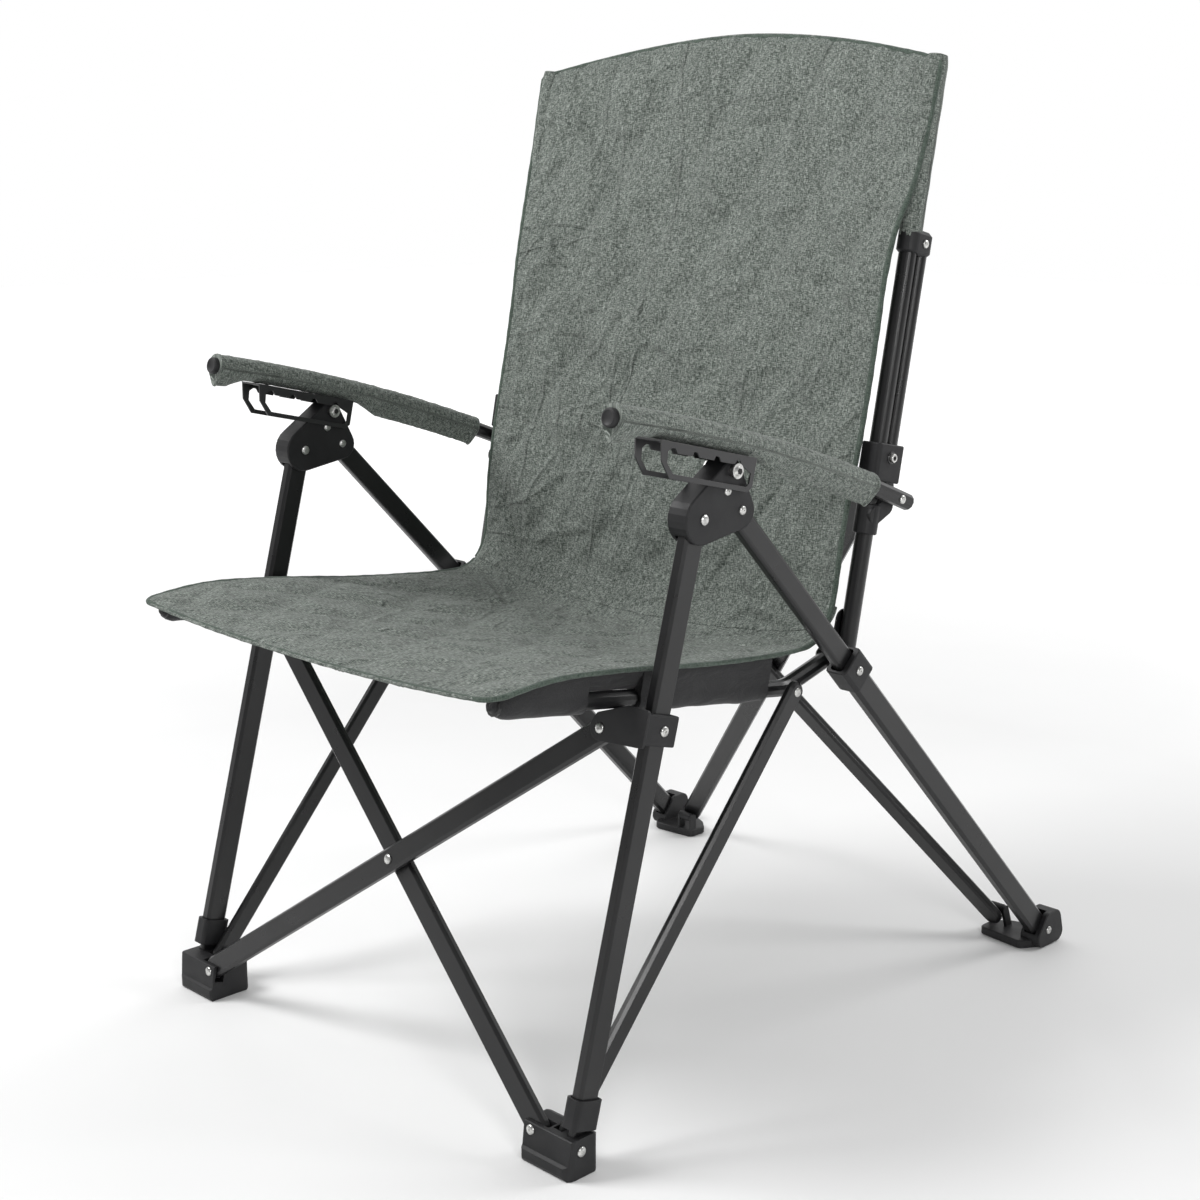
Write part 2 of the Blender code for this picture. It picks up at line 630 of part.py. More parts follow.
def back_post(side, label):
    pivot = mirrored(PIVOT, side)
    tongue = post_point(1, 0.0412)
    plate = [(*SEAT_PIVOT, 0.0125), (tongue.y + ORIGIN_DEPTH, tongue.z, 0.0115)]
    ring = side_prism('back_washer_' + label, hull_outline(plate, 28), side * 0.2765, side * 0.2782)
    bore_x(ring, pivot, 0.0044)
    paint(STEEL, 'steel', ring)
    add_carrier('back_washer_' + label, pivot, 'seat_carriage_' + label)
    carry('back_washer_' + label, ring)

    post = rod('back_post_' + label, pivot, post_point(side, POST_LENGTH), POST_RADIUS, 24)
    eye = [(SEAT_PIVOT[0], SEAT_PIVOT[1], 0.0125)]
    x = side * POST_X
    join(post, side_prism('eye', hull_outline(eye), x - 0.0090, x + 0.0090))
    bore_x(post, pivot, 0.0044)
    bracket = arm_bracket(side, label)
    paint(FRAME, 'frame', post)
    paint(PLASTIC, 'plastic', bracket)
    add_carrier('back_post_' + label, pivot, 'back_washer_' + label)
    carry('back_post_' + label, post, bracket)

    guide = rod('guide_tube_' + label, post_point(side, GUIDE_FROM, GUIDE_BEHIND),
                post_point(side, GUIDE_TO, GUIDE_BEHIND), GUIDE_RADIUS, 24)
    elbow = post_block('guide_cap_' + label, side, GUIDE_TO - 0.006, GUIDE_TO + 0.020, 0.0125, 0.0112, 0.004)
    cut(elbow,
        rod('post_hole', post_point(side, 0.3), post_point(side, 0.6), POST_RADIUS + SLIDE_PLAY, 24),
        rod('guide_hole', post_point(side, 0.3, GUIDE_BEHIND),
            post_point(side, GUIDE_TO + GAP, GUIDE_BEHIND), GUIDE_RADIUS + GAP, 24))
    paint(FRAME, 'frame', guide)
    paint(PLASTIC, 'plastic', elbow)
    add_carrier('back_guide_' + label, post_point(side, GUIDE_TO), 'back_post_' + label)
    carry('back_guide_' + label, guide, elbow)

    clamp = back_clamp(side, label)
    paint(PLASTIC, 'plastic', clamp)
    add_carrier('back_clamp_' + label, post_point(side, CLAMP_FROM), 'back_guide_' + label)
    carry('back_clamp_' + label, clamp)


def post_block(name, side, start, end, post_radius, guide_radius, chamfer):
    """A block round the post and the guide tube, extruded along the post."""
    outline = hull_outline([(0.0, 0.0, post_radius), (0.0, GUIDE_BEHIND, guide_radius)], 28)
    return prism(name, outline, mirrored(PIVOT, side), X, POST_BACK, start, end, chamfer)


def back_clamp(side, label):
    outline = round_rect(0.0258, 0.0440, 0.0045, 4)
    centre = mirrored(PIVOT, side) + POST_BACK * 0.0092
    clamp = prism('back_clamp_' + label, outline, centre, X, POST_BACK, CLAMP_FROM, CLAMP_TO, 0.0012)
    low = post_point(1, CLAMP_FROM + 0.010, 0.026)
    ear_end = post_point(1, CLAMP_FROM - 0.004, 0.0345)
    ear = [(low.y + ORIGIN_DEPTH, low.z, 0.0075), (ear_end.y + ORIGIN_DEPTH, ear_end.z, 0.0080)]
    join(clamp, side_prism('ear', hull_outline(ear), side * 0.2752, side * 0.2852))
    return cut(clamp,
               rod('post_hole', post_point(side, 0.1), post_point(side, 0.3), POST_RADIUS + SLIDE_PLAY, 24),
               rod('guide_hole', post_point(side, 0.1, GUIDE_BEHIND), post_point(side, 0.3, GUIDE_BEHIND),
                   GUIDE_RADIUS + SLIDE_PLAY, 24))


def arm_bracket(side, label):
    """The sleeve on the post that carries the rear end of the armrest."""
    outline = hull_outline([(0.0, 0.0, 0.0128)], 28)
    bracket = prism('arm_bracket_' + label, outline, mirrored(PIVOT, side), X, POST_BACK,
                    0.134, 0.166, 0.0012)
    inner = post_point(1, 0.155)
    lug = [(inner.y + ORIGIN_DEPTH, inner.z, 0.0105), (*ARM_PIVOT, 0.0095)]
    join(bracket, side_prism('lug', hull_outline(lug), side * 0.2805, side * 0.3000, 0.0008))
    return cut(bracket, rod('post_hole', post_point(side, 0.08), post_point(side, 0.22),
                            POST_RADIUS + GAP, 24))


# ---------------------------------------------------------------- armrest
def arm_point(side, share, lift=0.0):
    """A point on the arm's bow, share 0 at the tip and 1 at the rear end."""
    start, end = Vector(ARM_TIP), Vector(ARM_END)
    chord = end - start
    bow = Vector((-chord.y, chord.x)).normalized() * (ARM_RISE * 4 * share * (1 - share) + lift)
    place = start + chord * share + bow
    return at(side * LEG_X, place.x, place.y)


def ratchet_channel(side, label, pin_point):
    outline = [(-0.104, -0.0035), (-0.090, -0.0180), (0.0195, -0.0180), (0.0255, -0.0125),
               (0.0255, 0.0155), (-0.1085, 0.0155)]
    channel = prism('ratchet_channel_' + label, outline, pin_point, SLOT_BACK, SLOT_UP, -0.0171, 0.0171)
    inside = [(-0.2, -0.05), (0.2, -0.05), (0.2, 0.0136), (-0.2, 0.0136)]
    slot = [(-0.0965, -0.0040), (-0.0865, -0.0132), (0.0160, -0.0132), (0.0202, -0.0100),
            (0.0202, 0.0000), (0.0060, 0.0056)]
    for index in range(RATCHET_STEPS + 1):
        place = -RATCHET_STEP * index
        slot += [(place + 0.0060, 0.0057), (place + 0.0022, 0.0100), (place - 0.0024, 0.0100),
                 (place - 0.0042, 0.0057)]
    slot[-1] = (-0.0975, 0.0062)
    cut(channel,
        prism('inside', inside, pin_point, SLOT_BACK, SLOT_UP, -0.0155, 0.0155),
        prism('slot', slot, pin_point, SLOT_BACK, SLOT_UP, -0.05, 0.05))
    return channel


def armrest(side, label):
    pin_point = at(side * LEG_X, *RATCHET_PIN)
    half = BOLT_HALF_GRIP + BOLT_HEAD
    ends = [(0.0, 0.0020), (0.0008, 0.0040), (0.0022, 0.0050), (0.0022, 0.0074), (BOLT_HEAD, 0.0074),
            (BOLT_HEAD, 0.0031), (half - SHOULDER_HALF, 0.0031), (half - SHOULDER_HALF, 0.0055)]
    profile = ends + [(2 * half - d, r) for d, r in reversed(ends)]
    pin = turned('ratchet_bolt_' + label, pin_point - X * half, X, profile)
    add_carrier('ratchet_bolt_' + label, pin_point, 'rear_leg_' + label)
    carry('ratchet_bolt_' + label, pin)
    paint(STEEL, 'steel', pin)

    cross_point = arm_point(side, ARM_PIN_SHARE)
    reach = X * (ARM_RADIUS - 0.0008)
    cross_pin = rod('arm_pin_' + label, cross_point - reach, cross_point + reach, 0.0025, 20)
    add_carrier('arm_pin_' + label, cross_point, 'ratchet_bolt_' + label)
    carry('arm_pin_' + label, cross_pin)
    paint(STEEL, 'steel', cross_pin)

    steps = 16
    tube = bent_rod('arm_tube_' + label, [arm_point(side, i / steps) for i in range(steps + 1)],
                    ARM_RADIUS)
    bore_x(tube, cross_point, 0.0028)
    cover = bent_rod('arm_cover_' + label,
                     [arm_point(side, 0.006 + 0.834 * i / steps) for i in range(steps + 1)], 0.0106)
    cut(cover, bent_rod('cover_hole', [arm_point(side, -0.03 + 0.93 * i / steps)
                                       for i in range(steps + 1)], ARM_RADIUS + GAP))
    channel = ratchet_channel(side, label, pin_point)
    paint(FRAME, 'frame', tube)
    paint(SHEET_STEEL, 'sheet', channel)
    paint(FABRIC, 'fabric', cover)
    add_carrier('armrest_' + label, cross_point, 'arm_pin_' + label)
    carry('armrest_' + label, tube, channel, cover)


# ---------------------------------------------------------------- rear foot and rear cross
def rear_corner(side, label):
    rivet_point = mirrored(REAR_FOOT, side)
    depth, height = rivet_point.y + ORIGIN_DEPTH, rivet_point.z
    base_circles = [(0.2480, 0.797, 0.0055), (0.2510, 0.780, 0.0085), (0.3000, 0.776, 0.0100),
                    (0.3145, 0.800, 0.0100), (0.3130, 0.820, 0.0110), (0.2900, 0.818, 0.0100),
                    (0.2640, 0.806, 0.0100)]
    outline = hull_outline([(side * x, y - ORIGIN_DEPTH, r) for x, y, r in base_circles])
    foot = prism('rear_foot_' + label, outline, Vector((0, 0, 0)), X, Vector((0, 1, 0)), 0.0, 0.0100, 0.0012)
    housing = [(0.790, 0.0125, 0.012), (0.819, 0.0125, 0.012), (0.8135, 0.030, 0.0125),
               (0.800, 0.034, 0.008)]
    join(foot, side_prism('housing', hull_outline(housing), side * 0.2978, side * 0.3245, 0.001))
    fan = [(depth, height, 0.0143)]
    for degrees in (134.2, 125, 116):
        angle = math.radians(degrees)
        fan.append((depth + 0.09 * math.cos(angle), height + 0.09 * math.sin(angle), 0.0143))
    cut(foot, side_prism('leg_room', hull_outline(fan), side * 0.3021, side * 0.3179))
    normal_side = side
    axis = (at(side * REAR_CROSS_HALF_SPREAD, *REAR_CROSS_LOW)
            + REAR_CROSS_NORMAL * (0.0068 * normal_side))
    axis_place = (axis.y + ORIGIN_DEPTH, axis.z)
    for inner, outer in ((0.2436, 0.2471), (0.2649, 0.2684)):
        ear = hull_outline([(*axis_place, 0.0056), (axis_place[0] + 0.005 + 0.005 * side, 0.0065, 0.0056)])
        join(foot, side_prism('ear', ear, side * inner, side * outer))
    swivel = rod('rear_swivel_' + label, Vector((side * 0.2474, axis.y, axis.z)),
                 Vector((side * 0.2646, axis.y, axis.z)), 0.0060, 20)
    layer = -side
    start = -max(layer * GAP, layer * (GAP + CROSS_THICK))
    half_height = (at(0, *REAR_CROSS_HIGH) - at(0, *REAR_CROSS_LOW)).length / 2
    tube = cross_bar('rear_cross_tube_' + label, REAR_CROSS_CENTRE, REAR_CROSS_UP,
                     REAR_CROSS_HALF_SPREAD, half_height, side, start, start + CROSS_THICK)
    paint(PLASTIC, 'plastic', foot)
    paint(FRAME, 'frame', tube)
    paint(PLASTIC, 'plastic', swivel)
    add_carrier('rear_foot_' + label, rivet_point, 'rear_leg_' + label)
    carry('rear_foot_' + label, foot)
    add_carrier('rear_swivel_' + label, axis, 'rear_foot_' + label)
    carry('rear_swivel_' + label, swivel)
    add_carrier('rear_cross_' + label, at(side * REAR_CROSS_HALF_SPREAD, *REAR_CROSS_LOW),
                'rear_swivel_' + label)
    carry('rear_cross_' + label, tube)
    if side > 0:
        reach = REAR_CROSS_NORMAL * 0.03
        cut(tube, rod('rear_bore', REAR_CROSS_CENTRE - reach, REAR_CROSS_CENTRE + reach, 0.0032, 20))
        pin_start = REAR_CROSS_CENTRE - REAR_CROSS_NORMAL * (CROSS_THICK + 2 * GAP)
        pin = turned('rear_cross_rivet', pin_start - REAR_CROSS_NORMAL * 0.0022, REAR_CROSS_NORMAL,
                     [(0.0, 0.0016), (0.0006, 0.0036), (0.0022, 0.0052), (0.0022, 0.0029),
                      (0.0022 + CROSS_THICK, 0.0029)])
        paint(STEEL, 'steel', pin)
        carry('rear_cross_left', pin)


# ---------------------------------------------------------------- fabric
def fabric_panels():
    rail_way = (at(0, *RAIL_BEND) - at(0, *RAIL_FRONT)).normalized()
    rail_up = X.cross(rail_way)
    start = at(0, *RAIL_FRONT)
    seat_low = RAIL_RADIUS + 0.0010
    outline = round_rect(2 * SEAT_HALF_WIDTH, 0.419, 0.02, 4)
    seat = prism('seat_panel', outline, start + rail_way * 0.1877, X, rail_way, seat_low,
                 seat_low + SEAT_THICK)
    paint(FABRIC, 'fabric', seat)
    carry('seat_rail_left', seat)

    low, shoulder, crown = 0.052, 0.605, 0.655
    half = BACK_HALF_WIDTH
    outline = [(-half, low), (half, low), (half, shoulder)]
    steps = 12
    for index in range(1, steps):
        share = index / steps
        x = half * (1 - 2 * share)
        outline.append((x, shoulder + (crown - shoulder) * (1 - (x / half) ** 2) ** 0.6))
    outline.append((-half, shoulder))
    front = POST_RADIUS + 0.0042
    back = prism('back_panel', outline, at(0, *SEAT_PIVOT), X, POST_UP, front, front + BACK_THICK)
    paint(FABRIC, 'fabric', back)
    carry('back_post_left', back)


def clear_scene():
    for item in list(bpy.data.objects):
        bpy.data.objects.remove(item)


def build():
    clear_scene()
    front_cross()
    for side, label in ((1, 'left'), (-1, 'right')):
        front_foot(side, label)
        side_strut(side, label)
        outer_leg(side, label)
        rear_side(side, label)
        seat_carriage(side, label)
        seat_rail(side, label)
        back_post(side, label)
        armrest(side, label)
        rear_corner(side, label)
    fabric_panels()


build()
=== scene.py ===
"""Looks for the folding camp chair: materials, padded fabric, sleeves, rivets, light and camera."""
import math

import bpy
import numpy as np
from mathutils import Matrix, Vector, noise
from mathutils.bvhtree import BVHTree


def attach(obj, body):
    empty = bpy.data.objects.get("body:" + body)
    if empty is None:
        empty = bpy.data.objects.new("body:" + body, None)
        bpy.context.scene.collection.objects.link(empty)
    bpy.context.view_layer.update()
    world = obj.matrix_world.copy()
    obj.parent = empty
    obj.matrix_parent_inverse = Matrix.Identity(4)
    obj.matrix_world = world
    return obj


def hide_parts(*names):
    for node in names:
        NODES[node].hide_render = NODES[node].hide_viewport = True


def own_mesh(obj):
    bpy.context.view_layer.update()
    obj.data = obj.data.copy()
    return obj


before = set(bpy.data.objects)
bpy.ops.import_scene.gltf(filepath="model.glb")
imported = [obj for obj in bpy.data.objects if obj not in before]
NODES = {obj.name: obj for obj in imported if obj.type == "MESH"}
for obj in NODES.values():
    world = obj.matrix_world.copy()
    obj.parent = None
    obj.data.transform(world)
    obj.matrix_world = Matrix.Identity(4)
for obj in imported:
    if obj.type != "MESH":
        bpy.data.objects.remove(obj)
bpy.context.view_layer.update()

SIDES = ((1, "left"), (-1, "right"))

# ---------------------------------------------------------------- frame geometry
# Depths are measured back from the front feet, heights up from the floor, all in metres.
ORIGIN_DEPTH = 0.38296          # depth of the frame's origin
LEAN = math.radians(15.0)       # front legs, back from upright
REAR_SLOPE = math.radians(45.8)  # rear legs, down from level
POST_LEAN = math.radians(11.5)  # back posts, back from upright
SEAT_PIVOT = (0.430, 0.421)     # depth and height
RAIL_FRONT, RAIL_BEND = (-0.045, 0.4606), (0.355, 0.4005)
ARM_FRONT, ARM_REAR, ARM_BOW = (0.060, 0.7125), (0.499, 0.5835), 0.011
HUB_PIVOT, HUB_REAR = (0.2022, 0.632), (0.2234, 0.611)
HUB_INNER, HUB_OUTER = 0.2975, 0.3225
CROSS_FOOT, CROSS_RISE = (0.003, 0.033), 0.376
CROSS_LAYERS = (0.0003, 0.0113)  # near and far face of one cross tube, from the plane between the two
RAIL_X, POST_X, LEG_X = 0.2672, 0.2880, 0.310

X = Vector((1, 0, 0))
LEG_UP = Vector((0, math.sin(LEAN), math.cos(LEAN)))
LEG_FRONT = Vector((0, -math.cos(LEAN), math.sin(LEAN)))
REAR_DOWN = Vector((0, math.cos(REAR_SLOPE), -math.sin(REAR_SLOPE)))
POST_UP = Vector((0, math.sin(POST_LEAN), math.cos(POST_LEAN)))
POST_BACK = Vector((0, math.cos(POST_LEAN), -math.sin(POST_LEAN)))


def at(x, depth, height):
    """A point of the frame from its sideways place, depth and height."""
    return Vector((x, depth - ORIGIN_DEPTH, height))


PIVOT = at(POST_X, *SEAT_PIVOT)


def post_point(side, along, back=0.0, across=0.0):
    """A point along a back post, measured from the seat pivot."""
    return Vector((side * (PIVOT.x + across), PIVOT.y, PIVOT.z)) + POST_UP * along + POST_BACK * back


def arm_point(side, share):
    """A point along an armrest's bowed centre line, share from 0 at its front to 1."""
    start, end = Vector(ARM_FRONT), Vector(ARM_REAR)
    chord = end - start
    bow = Vector((-chord.y, chord.x)).normalized() * (ARM_BOW * 4 * share * (1 - share))
    place = start + chord * share + bow
    return at(side * LEG_X, place.x, place.y)


# ---------------------------------------------------------------- materials
class Look:
    """A Principled material that is being wired up."""

    def __init__(self, name, colour, roughness, metallic=0.0, **sockets):
        self.material = bpy.data.materials.new(name)
        self.material.use_nodes = True
        self.tree = self.material.node_tree
        self.shader = self.tree.nodes["Principled BSDF"]
        self.shader.inputs["Base Color"].default_value = (*colour, 1)
        self.shader.inputs["Roughness"].default_value = roughness
        self.shader.inputs["Metallic"].default_value = metallic
        for socket, value in sockets.items():
            self.shader.inputs[socket.replace("_", " ")].default_value = value

    def node(self, kind, **values):
        made = self.tree.nodes.new(kind)
        for key, value in values.items():
            if key in made.inputs:
                made.inputs[key].default_value = value
            else:
                setattr(made, key, value)
        return made

    def link(self, output, target):
        self.tree.links.new(output, target)

    def coordinates(self, source, scale):
        """Object or UV coordinates stretched by scale."""
        place = self.node("ShaderNodeTexCoord")
        mapping = self.node("ShaderNodeMapping")
        mapping.inputs["Scale"].default_value = scale
        self.link(place.outputs[source], mapping.inputs["Vector"])
        return mapping.outputs["Vector"]

    def noise(self, source, scale, detail=2.0, roughness=0.5, distortion=0.0):
        made = self.node("ShaderNodeTexNoise", Scale=1.0, Detail=detail, Roughness=roughness,
                         Distortion=distortion)
        self.link(self.coordinates(source, scale), made.inputs["Vector"])
        return made.outputs["Fac"]

    def ramp(self, factor, stops):
        made = self.node("ShaderNodeValToRGB")
        elements = made.color_ramp.elements
        while len(elements) < len(stops):
            elements.new(0.5)
        for element, (place, colour) in zip(elements, stops):
            element.position = place
            element.color = (*colour, 1) if len(colour) == 3 else colour
        self.link(factor, made.inputs["Fac"])
        return made.outputs["Color"]

    def math(self, operation, first, second=None):
        made = self.node("ShaderNodeMath", operation=operation)
        for index, value in enumerate((first, second)):
            if isinstance(value, (int, float)):
                made.inputs[index].default_value = value
            elif value is not None:
                self.link(value, made.inputs[index])
        return made.outputs["Value"]

    def mix(self, factor, first, second, blend="MIX"):
        made = self.node("ShaderNodeMix", data_type="RGBA", blend_type=blend)
        for index, value in ((0, factor), (6, first), (7, second)):
            if isinstance(value, (int, float)):
                made.inputs[index].default_value = value
            elif isinstance(value, tuple):
                made.inputs[index].default_value = (*value, 1)
            else:
                self.link(value, made.inputs[index])
        return made.outputs[2]

    def spread(self, factor, low, high):
        made = self.node("ShaderNodeMapRange")
        made.inputs["To Min"].default_value = low
        made.inputs["To Max"].default_value = high
        self.link(factor, made.inputs["Value"])
        return made.outputs["Result"]

    def bump(self, height, distance, normal=None, strength=1.0):
        made = self.node("ShaderNodeBump", Strength=strength, Distance=distance)
        self.link(height, made.inputs["Height"])
        if normal is not None:
            self.link(normal, made.inputs["Normal"])
        return made.outputs["Normal"]

    def rounded(self, radius):
        """Normals that round off an edge, and a mask that is 1 along it."""
        soft = self.node("ShaderNodeBevel", samples=4, Radius=radius)
        plain = self.node("ShaderNodeNewGeometry")
        dot = self.node("ShaderNodeVectorMath", operation="DOT_PRODUCT")
        self.link(soft.outputs["Normal"], dot.inputs[0])
        self.link(plain.outputs["Normal"], dot.inputs[1])
        return soft.outputs["Normal"], self.math("SUBTRACT", 1.0, dot.outputs["Value"])

    def colour(self, output):
        self.link(output, self.shader.inputs["Base Color"])

    def rough(self, output):
        self.link(output, self.shader.inputs["Roughness"])

    def normal(self, output):
        self.link(output, self.shader.inputs["Normal"])


def painted_tube():
    """Black satin powder coat, worn a little along the edges."""
    look = Look("satin_black_paint", (0.010, 0.010, 0.011), 0.36, 0.0,
                Coat_Weight=0.12, Coat_Roughness=0.18, Specular_IOR_Level=0.42)
    soft, edge = look.rounded(0.0016)
    patch = look.noise("Object", (60, 60, 60), 3.0, 0.6)
    worn = look.math("MULTIPLY", look.ramp(edge, [(0.02, (0, 0, 0)), (0.22, (1, 1, 1))]),
                     look.ramp(patch, [(0.42, (0.25,) * 3), (0.68, (1, 1, 1))]))
    mottle = look.ramp(look.noise("Object", (9, 9, 9), 3.0), [(0.3, (0.006, 0.006, 0.0065)),
                                                             (0.7, (0.012, 0.012, 0.0125))])
    look.colour(look.mix(look.math("MULTIPLY", worn, 0.42), mottle, (0.060, 0.060, 0.062)))
    look.rough(look.spread(look.noise("Object", (35, 35, 35), 4.0), 0.22, 0.38))
    peel = look.noise("Object", (900, 900, 900), 2.0)
    look.normal(look.bump(peel, 0.00003, soft, 0.5))
    return look.material


def moulded_plastic():
    """Black moulded nylon with a fine spark-eroded grain."""
    look = Look("moulded_black_plastic", (0.010, 0.010, 0.011), 0.5, Specular_IOR_Level=0.35)
    soft, edge = look.rounded(0.0011)
    tone = look.ramp(look.noise("Object", (25, 25, 25), 4.0), [(0.3, (0.009, 0.009, 0.010)),
                                                              (0.7, (0.019, 0.019, 0.020))])
    worn = look.ramp(edge, [(0.05, (0, 0, 0)), (0.3, (1, 1, 1))])
    look.colour(look.mix(look.math("MULTIPLY", worn, 0.3), tone, (0.05, 0.05, 0.052)))
    look.rough(look.spread(look.noise("Object", (80, 80, 80), 3.0), 0.42, 0.60))
    grain = look.noise("Object", (1600, 1600, 1600), 3.0, 0.7)
    look.normal(look.bump(grain, 0.00008, soft, 0.7))
    return look.material


def pressed_sheet():
    """Semi-gloss black painted steel sheet."""
    look = Look("black_sheet_steel", (0.012, 0.012, 0.013), 0.33, 0.0, Coat_Weight=0.3, Coat_Roughness=0.2)
    soft, edge = look.rounded(0.0005)
    look.colour(look.mix(look.ramp(edge, [(0.05, (0, 0, 0)), (0.4, (0.5, 0.5, 0.5))]),
                         (0.013, 0.013, 0.014), (0.09, 0.09, 0.088)))
    look.rough(look.spread(look.noise("Object", (70, 70, 70), 4.0), 0.26, 0.44))
    look.normal(look.bump(look.noise("Object", (700, 700, 700), 2.0), 0.00003, soft, 0.5))
    return look.material


def plated_steel():
    """Zinc-plated rivets, slightly brushed and dulled in places."""
    look = Look("plated_steel", (0.62, 0.62, 0.60), 0.25, 1.0)
    tone = look.noise("Object", (240, 240, 240), 4.0, 0.65)
    look.colour(look.ramp(tone, [(0.30, (0.38, 0.38, 0.37)), (0.62, (0.72, 0.72, 0.70))]))
    look.rough(look.spread(tone, 0.20, 0.42))
    look.normal(look.bump(look.noise("Object", (2200, 2200, 300), 3.0), 0.00003, None, 0.6))
    return look.material


def painted_socket_shade():
    """Painted shade: flat black that stands in for the shade at the bottom of a screw's hexagon socket."""
    look = Look("socket_shadow", (0.006, 0.006, 0.006), 0.6, 0.0)
    look.rough(look.spread(look.noise("Object", (500, 500, 500), 2.0), 0.5, 0.7))
    return look.material


def melange(name, dark, middle, light, weave=0.00075, sheen=0.12, crease=0.0016):
    """Woven polyester whose threads are spun from light and dark fibres. UVs are in metres."""
    look = Look(name, middle, 0.88, 0.0, Sheen_Weight=sheen, Sheen_Roughness=0.5, Specular_IOR_Level=0.25)
    warp = look.noise("UV", (1250, 190, 1), 3.0, 0.60, 0.4)
    weft = look.noise("UV", (200, 1150, 1), 3.0, 0.60, 0.6)
    fleck = look.math("ADD", look.math("MULTIPLY", warp, 0.5), look.math("MULTIPLY", weft, 0.5))
    yarn = look.ramp(fleck, [(0.42, dark), (0.50, middle), (0.59, light)])
    slub = look.ramp(look.noise("UV", (300, 26, 1), 2.0), [(0.35, (0.86,) * 3), (0.65, (1.10,) * 3)])
    cloud = look.ramp(look.noise("UV", (14, 11, 1), 4.0, 0.6), [(0.3, (0.93,) * 3), (0.7, (1.05,) * 3)])
    look.colour(look.mix(1.0, look.mix(1.0, yarn, slub, "MULTIPLY"), cloud, "MULTIPLY"))
    look.rough(look.spread(fleck, 0.80, 0.95))
    split = look.node("ShaderNodeSeparateXYZ")
    look.link(look.coordinates("UV", (math.pi / weave, math.pi / weave, 1)), split.inputs[0])
    over = look.math("MULTIPLY", look.math("SINE", split.outputs["X"]),
                     look.math("SINE", split.outputs["Y"]))
    thread = look.math("ADD", look.math("MULTIPLY", over, 0.35), look.math("MULTIPLY", fleck, 1.3))
    folds = look.noise("UV", (19, 15, 1), 3.0, 0.5, 1.2)
    ridge = look.math("ABSOLUTE", look.math("SUBTRACT", folds, 0.5))
    base = look.bump(look.math("MULTIPLY", ridge, -1.0), crease * 6, None, 0.6)
    for source, scale in (((7, 3.2, 1), 1.0), ((3.6, 8.5, 1), 0.8)):
        line = look.math("ABSOLUTE", look.math("SUBTRACT", look.noise("UV", source, 2.0, 0.4, 1.5), 0.5))
        sharp = look.ramp(line, [(0.0, (1, 1, 1)), (0.040, (0, 0, 0))])
        base = look.bump(sharp, crease * scale * 1.6, base, 0.8)
    look.normal(look.bump(thread, 0.00035, base, 0.75))
    return look.material


def black_cloth():
    """Plain woven black polyester for the rail sleeves."""
    look = Look("black_sleeve_cloth", (0.010, 0.010, 0.011), 0.85, 0.0,
                Sheen_Weight=0.15, Sheen_Roughness=0.5)
    fine = look.noise("UV", (900, 900, 1), 3.0)
    look.colour(look.ramp(fine, [(0.35, (0.007, 0.007, 0.008)), (0.65, (0.020, 0.020, 0.021))]))
    folds = look.noise("UV", (60, 24, 1), 3.0, 0.5, 0.6)
    look.normal(look.bump(fine, 0.0003, look.bump(folds, 0.004, None, 0.7), 0.6))
    return look.material


PAINT = painted_tube()
PLASTIC = moulded_plastic()
SHEET = pressed_sheet()
STEEL = plated_steel()
# painted shade for the hollows of hexagon sockets
SOCKET_SHADE = painted_socket_shade()
GREY_GREEN = (0.046, 0.057, 0.049), (0.136, 0.157, 0.139), (0.320, 0.345, 0.318)
FABRIC = melange("melange_fabric", *GREY_GREEN)
ARM_FABRIC = melange("melange_arm_fabric", *GREY_GREEN, crease=0.0008)
BINDING = melange("green_binding", (0.040, 0.058, 0.046), (0.072, 0.096, 0.078), (0.110, 0.138, 0.116),
                  weave=0.0012, crease=0.0004)
THREAD = melange("grey_thread", (0.11, 0.13, 0.12), (0.17, 0.20, 0.18), (0.26, 0.29, 0.27), crease=0.0002)
BLACK_CLOTH = black_cloth()

PLASTIC_WORDS = ("foot", "collar", "bracket", "hub_left", "hub_right", "carriage", "clamp", "cap", "swivel")
STEEL_WORDS = ("rivet", "bolt", "arm_pin")
for node_name, node in NODES.items():
    if any(word in node_name for word in STEEL_WORDS):
        chosen = STEEL
    elif "channel" in node_name:
        chosen = SHEET
    elif any(word in node_name for word in PLASTIC_WORDS):
        chosen = PLASTIC
    else:
        chosen = PAINT
    node.data.materials.clear()
    node.data.materials.append(chosen)


# ---------------------------------------------------------------- mesh helpers
def new_object(name, points, faces, material, uvs=None, smooth=True):
    """A mesh object; uvs, one a point, are in metres."""
    mesh = bpy.data.meshes.new(name)
    mesh.from_pydata([tuple(p) for p in points], [], faces)
    if uvs is not None:
        layer = mesh.uv_layers.new(name="metres")
        for loop in mesh.loops:
            layer.data[loop.index].uv = uvs[loop.vertex_index]
    mesh.materials.append(material)
    made = bpy.data.objects.new(name, mesh)
    bpy.context.scene.collection.objects.link(made)
    if smooth:
        mesh.shade_smooth()
        mesh.set_sharp_from_angle(angle=math.radians(42))
    return made


def lathe(name, base, axis, profile, material, segments=20):
    """Turn a profile of (height, radius) round an axis that starts at base."""
    axis = axis.normalized()
    across = axis.orthogonal().normalized()
    other = axis.cross(across)
    points = []
    faces = []
    for height, radius in profile:
        for index in range(segments):
            angle = 2 * math.pi * index / segments
            points.append(base + axis * height
                          + (across * math.cos(angle) + other * math.sin(angle)) * radius)
    for row in range(len(profile) - 1):
        for index in range(segments):
            following = (index + 1) % segments
            faces.append((row * segments + index, row * segments + following,
                          (row + 1) * segments + following, (row + 1) * segments + index))
    faces.append(tuple(reversed(range(segments))))
    faces.append(tuple(range((len(profile) - 1) * segments, len(profile) * segments)))
    return new_object(name, points, faces, material)


